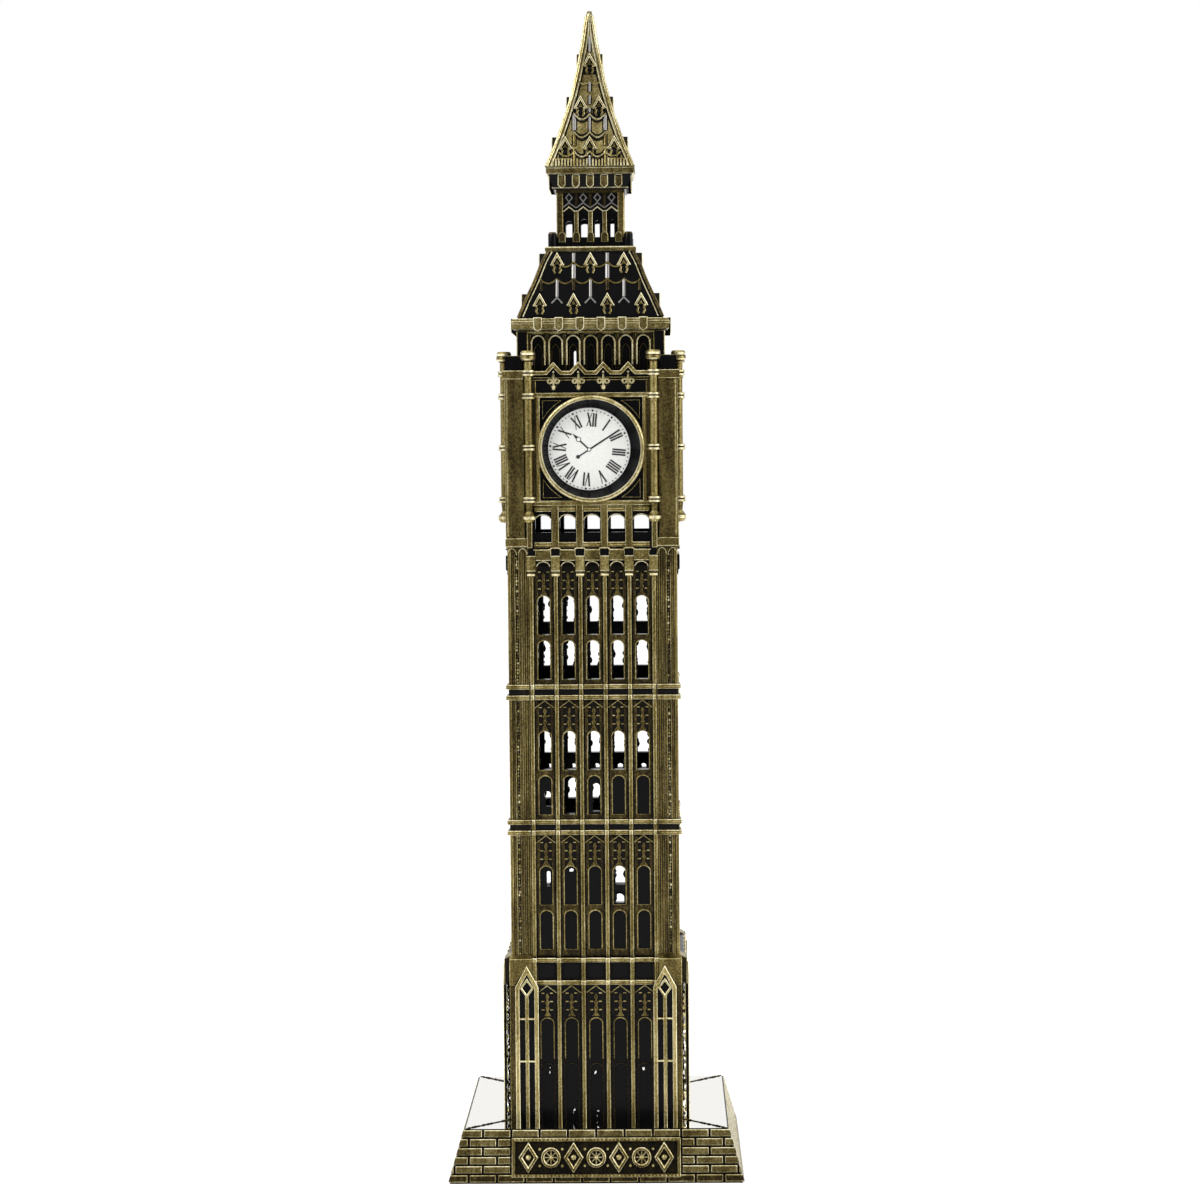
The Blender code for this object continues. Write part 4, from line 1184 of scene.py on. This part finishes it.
def lay_lantern_rings(rings):
    rings.ring(rect(LANTERN_BORE, 4.7, LANTERN_Z, 152.0), BLACK)
    rings.ring(rect(5.6, 6.0, LANTERN_Z, 144.4), BLACK)
    rings.ring(rect(4.0, 5.3, 151.3, 151.9), SHADE)
    rings.ring([(4.0, 151.8), (5.6, 151.8), (6.45, 154.1), (4.0, 154.1)], (0.0, 0.04, 0.04))
    rings.ring([(4.0, 152.0), (5.85, 152.0), (5.95, 152.1), (5.85, 152.2), (4.0, 152.2)], (0.3, 1.25, 1.25))
    lay_cornice(rings, 154.1, 155.2, 6.8)


def lantern_mesh():
    face = Relief()
    lay_lantern_face(face)
    lay_balustrade(face)
    lay_corbel_table(face)
    cuts = Relief()
    front_cuts = Relief()
    for x, half, top in ((-3.35, 0.5, 147.0), (-0.95, 0.5, 147.3), (1.05, 0.36, 147.1), (3.4, 0.28, 147.2)):
        front_cuts.cut(opening(x, 144.4, top, half, 0.5), 3.0, 8.0)
        cuts.cut(opening(x, 144.4, 147.2, 0.62, 0.3), 3.0, 8.0)
    rings = Relief()
    lay_lantern_rings(rings)
    mesh = united(rings.solids + four_times(face))
    openings = list(front_cuts.solids)
    for degrees in (90, 180, 270):
        openings += turned(cuts.solids, degrees)
    mesh = combine(mesh, openings, "DIFFERENCE")
    floors = square_tower(lambda z: 5.8, (LANTERN_Z, 143.4), 0.05)
    ceiling = square_tower(lambda z: 5.0, (148.0, 155.1), 0.05)
    return combine(mesh, floors + ceiling, "UNION")


def lay_painted_dormer_shade(face, x, low):
    """Painted shade: a black patch round one dormer."""
    outline = [(x - 1.0, low - 1.45), (x + 1.0, low - 1.45), (x + 1.0, low + 0.5), (x, low + 2.2),
               (x - 1.0, low + 0.5)]
    face.block(outline, -0.3, 0.07, BLACK, 0.02)


def lay_spire_face(face, flat):
    lay_hip(face, spire_half, 155.3, 179.2, (0.4, 1.1, 0.85), (0.3, 1.2, 1.45))
    # Painted shadow: a black line inside each hip, down the spire's faces.
    for side in SIDES:
        face.line(beside_hip(spire_half, side, 1.0, 156.6, 172.8, 12), 0.3, -0.3, 0.06, BLACK)
    for x, low in ((-3.8, 158.1), (0.0, 158.1), (3.8, 158.1), (-1.43, 164.6), (1.43, 164.6), (0.0, 171.4)):
        lay_painted_dormer_shade(face, x, low)
        lay_gablet(face, flat, spire_half, x, low)
    # Grey painted highlight on the upper side rolls and on the middle rolls.
    for x in (-2.4, 2.4):
        lay_roll(face, x, 155.5, 158.0, 0.35, (0.0, 0.8, 0.7))
        lay_roll(face, x, 158.6, 160.4, 0.45, (0.0, 0.7, 0.6))
        lay_roll(face, x, 161.0, 163.4, 0.6, GREY_PAINTED_HIGHLIGHT)
    for low, high in SPIRE_ROLLS:
        lay_roll(face, 0.0, low, high, 0.36, GREY_PAINTED_HIGHLIGHT)
    for z in (157.7, 160.8, 163.7):
        for x0, x1 in ((-2.4, 0.0), (0.0, 2.4)):
            lay_swag(face, x0, x1, z, 0.9, (0.0, 1.15, 1.1))
            # Painted shadow: black cords just below and above each bright swag.
            lay_swag(face, x0, x1, z - 0.4, 0.9, BLACK)
            lay_swag(face, x0, x1, z + 0.36, 0.9, BLACK)
    face.block(rect(-5.9, 5.9, 155.3, 156.4), -0.3, 0.04, BLACK, 0.02)
    for x in spread(25, 0.48):
        face.line([(x, 155.3), (x, 156.5)], 0.26, -0.3, 0.2, (0.0, 1.1, 1.05))
    for side in SIDES:
        lay_swag(face, side * 2.4, side * 4.8, 157.6, 0.7, (0.0, 1.0, 0.95))
        lay_swag(face, 0.0, side * 1.7, 168.9, 0.5, (0.0, 1.0, 0.95))


def spire_mesh():
    face = Relief(spire_half)
    flat = Relief()
    lay_spire_face(face, flat)
    core = square_tower(spire_half, [z for z, _ in SPIRE_SHAPE], 0.92)
    tip = Relief()
    tip.lathe(0, 0, SPIRE_TIP, [1, 1, 1.2, 1.2, 1.2])
    return united(core + four_times(face) + four_times(flat) + tip.solids)


# ---- materials

def new_material(name):
    material = bpy.data.materials.new(name)
    material.use_nodes = True
    tree = material.node_tree
    return material, tree, tree.nodes["Principled BSDF"]


def set_inputs(tree, node, inputs):
    """Links the sockets given and sets the plain values."""
    for name, value in inputs.items():
        if isinstance(value, bpy.types.NodeSocket):
            tree.links.new(value, node.inputs[name])
        else:
            node.inputs[name].default_value = value


def add_node(tree, kind, inputs):
    node = tree.nodes.new("ShaderNode" + kind)
    set_inputs(tree, node, inputs)
    return node


def math_node(tree, operation, first, second):
    node = add_node(tree, "Math", {0: first, 1: second})
    node.operation = operation
    return node.outputs[0]


def noise(tree, scale, detail=3.0, roughness=0.6, upright=1.0):
    """Noise in the object's own coordinates, per metre; a small `upright` draws it out into streaks."""
    place = add_node(tree, "TexCoord", {}).outputs["Object"]
    mapping = add_node(tree, "Mapping", {"Vector": place, "Scale": (1.0, 1.0, upright)})
    node = add_node(tree, "TexNoise", {"Vector": mapping.outputs["Vector"], "Scale": scale, "Detail": detail,
                                       "Roughness": roughness})
    return node.outputs["Fac"]


def ramp(tree, value, stops):
    node = add_node(tree, "ValToRGB", {"Fac": value})
    elements = node.color_ramp.elements
    while len(elements) < len(stops):
        elements.new(0.5)
    for element, (position, color) in zip(elements, stops):
        element.position = position
        element.color = (*color, 1.0)
    return node.outputs["Color"]


def bump(tree, height, distance, strength):
    node = add_node(tree, "Bump", {"Height": height, "Distance": distance, "Strength": strength})
    return node.outputs["Normal"]


def wear_and_sheen_ramp(tree, value, stops):
    """A ramp over a scaled value of wear and painted highlight, its stops given in that value; single numbers
    stand for greys.
    """
    colors = [color if isinstance(color, tuple) else (color,) * 3 for _, color in stops]
    return ramp(tree, value, [(wear_and_sheen / WEAR_AND_SHEEN_TOP, color) for (wear_and_sheen, _), color in zip(stops, colors)])


def antique_brass():
    """Brass that shows through black lacquer where it was rubbed, with painted highlight on its bright edges
    and a grey painted highlight near 1.8.
    """
    material, tree, shader = new_material("brass_wear_and_sheen")
    wear_and_sheen = add_node(tree, "Attribute", {})
    wear_and_sheen.attribute_name = "wear_and_sheen"
    plain = math_node(tree, "DIVIDE", wear_and_sheen.outputs["Fac"], WEAR_AND_SHEEN_TOP)
    rubbed = wear_and_sheen_ramp(tree, plain, [(0.0, 0.15), (0.4, 0.8), (0.7, 1.0), (1.5, 1.0), (1.7, 0.3), (2.2, 0.0)])
    fine = noise(tree, 3600, 3.0, 0.75)
    streaks = noise(tree, 700, 2.0, 0.6, 0.14)
    grain, blotch = [math_node(tree, "MULTIPLY", math_node(tree, "SUBTRACT", value, 0.5), share)
                     for value, share in ((fine, 0.5), (streaks, 0.3))]
    mottle = math_node(tree, "MULTIPLY", math_node(tree, "ADD", grain, blotch), rubbed)
    value = math_node(tree, "ADD", plain, mottle)
    set_inputs(tree, shader, {
        "Base Color": wear_and_sheen_ramp(tree, value, BRASS_COLORS),
        "Metallic": wear_and_sheen_ramp(tree, value, [(0.17, 0.0), (0.55, 1.0)]),
        "Roughness": wear_and_sheen_ramp(tree, value, [(0.0, 0.2), (0.43, 0.34), (1.3, 0.37), (1.9, 0.4), (2.2, 0.06)]),
        "Specular IOR Level": 0.07,
        "Normal": bump(tree, math_node(tree, "MULTIPLY", fine, rubbed), 0.00006, 0.55)})
    return material


def grained(name, scale, detail, dark, light, roughness, relief=None, metallic=0.0):
    """An even material whose colour wanders between two; `relief` is its bump's depth and strength."""
    material, tree, shader = new_material(name)
    grain = noise(tree, scale, detail)
    color = ramp(tree, grain, [(0.3, dark), (0.7, light)])
    set_inputs(tree, shader, {"Base Color": color, "Roughness": roughness, "Metallic": metallic})
    if relief:
        set_inputs(tree, shader, {"Normal": bump(tree, grain, *relief)})
    return material


def dial_card():
    return grained("printed_card", 3000, 3.0, (0.60, 0.60, 0.57), (0.66, 0.66, 0.63), 0.5, (0.00002, 0.2))


def ink():
    return grained("black_ink", 9000, 3.0, (0.006, 0.006, 0.007), (0.016, 0.015, 0.015), 0.5)


def zinc_steel():
    return grained("zinc_plate", 900, 5.0, (0.42, 0.42, 0.41), (0.60, 0.60, 0.58), 0.34, (0.00003, 0.3), 1.0)


def rubber():
    return grained("rubber_pad", 2400, 4.0, (0.018,) * 3, (0.034,) * 3, 0.8, (0.0001, 0.5))


# ---- assembly

def turned_mesh(mesh, degrees):
    copy = mesh.copy()
    copy.transform(Matrix.Rotation(math.radians(degrees), 4, "Z"))
    return copy


def build_walls(brass):
    plain = wall_mesh(False)
    for name, degrees in FACES.items():
        mesh = wall_mesh(True) if name == "front" else turned_mesh(plain, degrees)
        add_piece("casting_" + name, mesh, brass, "antique_brass", "wall_" + name)


def build_dials(brass, card, black):
    low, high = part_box("dial_front")
    z = (low.z + high.z) * 500
    ring, face, letters = ring_mesh(z), face_mesh(z), print_mesh(z)
    for name, degrees in FACES.items():
        add_piece("ring_" + name, turned_mesh(ring, degrees), brass, "bezel_brass", "bezel_" + name)
        add_piece("card_" + name, turned_mesh(face, degrees), card, "dial_card", "dial_" + name)
        add_piece("print_" + name, turned_mesh(letters, degrees), black, "dial_card")


def build_top(brass):
    makers = {"belfry": belfry_mesh, "lower_roof": roof_mesh, "lantern": lantern_mesh, "spire": spire_mesh}
    for node, make in makers.items():
        add_piece(node.replace("lower_", "") + "_casting", make(), brass, "antique_brass", node)


def finish_carried_nodes(nodes, steel, black):
    """Materials of the plate, screws and pad, which keep their CAD meshes."""
    for name, node in nodes.items():
        if name.startswith(("screw_", "base_")):
            node.data.materials.clear()
            node.data.materials.append(black if name == "base_pad" else steel)


def add_floor():
    material = grained("pale_floor", 40, 3.0, (0.94,) * 3, (0.96,) * 3, 0.6)
    tree = material.node_tree
    glow = {"Emission Color": (1.0, 1.0, 1.0, 1.0), "Emission Strength": 0.12}
    set_inputs(tree, tree.nodes["Principled BSDF"], glow)
    mesh = bpy.data.meshes.new("floor")
    corners = [(x, y, 0) for x, y in rect(-FLOOR, FLOOR, -FLOOR, FLOOR)]
    mesh.from_pydata(corners, [], [(0, 1, 2, 3)])
    mesh.materials.append(material)
    floor = new_object("floor", mesh)


def add_camera():
    data = bpy.data.cameras.new("camera")
    data.lens = LENS
    data.sensor_width = 36
    camera = new_object("camera", data)
    turn = Matrix.Rotation(math.radians(CAMERA_YAW), 4, "Z")
    pitch = Matrix.Rotation(math.radians(90 - CAMERA_PITCH), 4, "X")
    lean = Matrix.Rotation(math.radians(CAMERA_ROLL), 4, "Z")
    camera.matrix_world = Matrix.Translation(CAMERA) @ turn @ pitch @ lean
    bpy.context.scene.camera = camera


def add_light(name, location, target, size, power):
    data = bpy.data.lights.new(name, "AREA")
    data.shape = "RECTANGLE"
    data.size, data.size_y = size
    data.energy = power
    light = new_object(name, data)
    light.location = location
    direction = Vector(target) - Vector(location)
    light.rotation_euler = direction.to_track_quat("-Z", "Y").to_euler()


def add_studio():
    """White all round, with a dim room for the front to mirror, which itself stays out of sight."""
    world = bpy.data.worlds.new("studio")
    world.use_nodes = True
    tree = world.node_tree
    direction = add_node(tree, "TexCoord", {}).outputs["Generated"]
    split = add_node(tree, "SeparateXYZ", {"Vector": direction})
    away = math_node(tree, "MULTIPLY", math_node(tree, "ADD", split.outputs["Y"], 1.0), 0.5)
    color = ramp(tree, away, [(0.0, (0.22,) * 3), (0.08, (0.3,) * 3), (0.22, (1.0,) * 3), (1.0, (1.0,) * 3)])
    seen = add_node(tree, "LightPath", {}).outputs["Is Camera Ray"]
    shown = math_node(tree, "MAXIMUM", color, seen)
    set_inputs(tree, tree.nodes["Background"], {"Color": shown, "Strength": 1.0})
    bpy.context.scene.world = world
    bpy.context.scene.view_settings.view_transform = "Standard"
    middle = (0, 0, 0.08)
    add_light("key", (-0.6, -0.5, 0.7), middle, (0.4, 0.4), 5)
    add_light("fill", (0.7, -0.3, 0.4), middle, (0.5, 0.5), 3)
    add_light("top", (0, 0.1, 1.5), (0, 0.1, 0), (1.6, 1.6), 7)


def main():
    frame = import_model()
    brass = antique_brass()
    build_walls(brass)
    build_dials(brass, dial_card(), ink())
    build_top(brass)
    finish_carried_nodes(frame["nodes"], zinc_steel(), rubber())
    add_floor()
    add_studio()
    add_camera()


main()
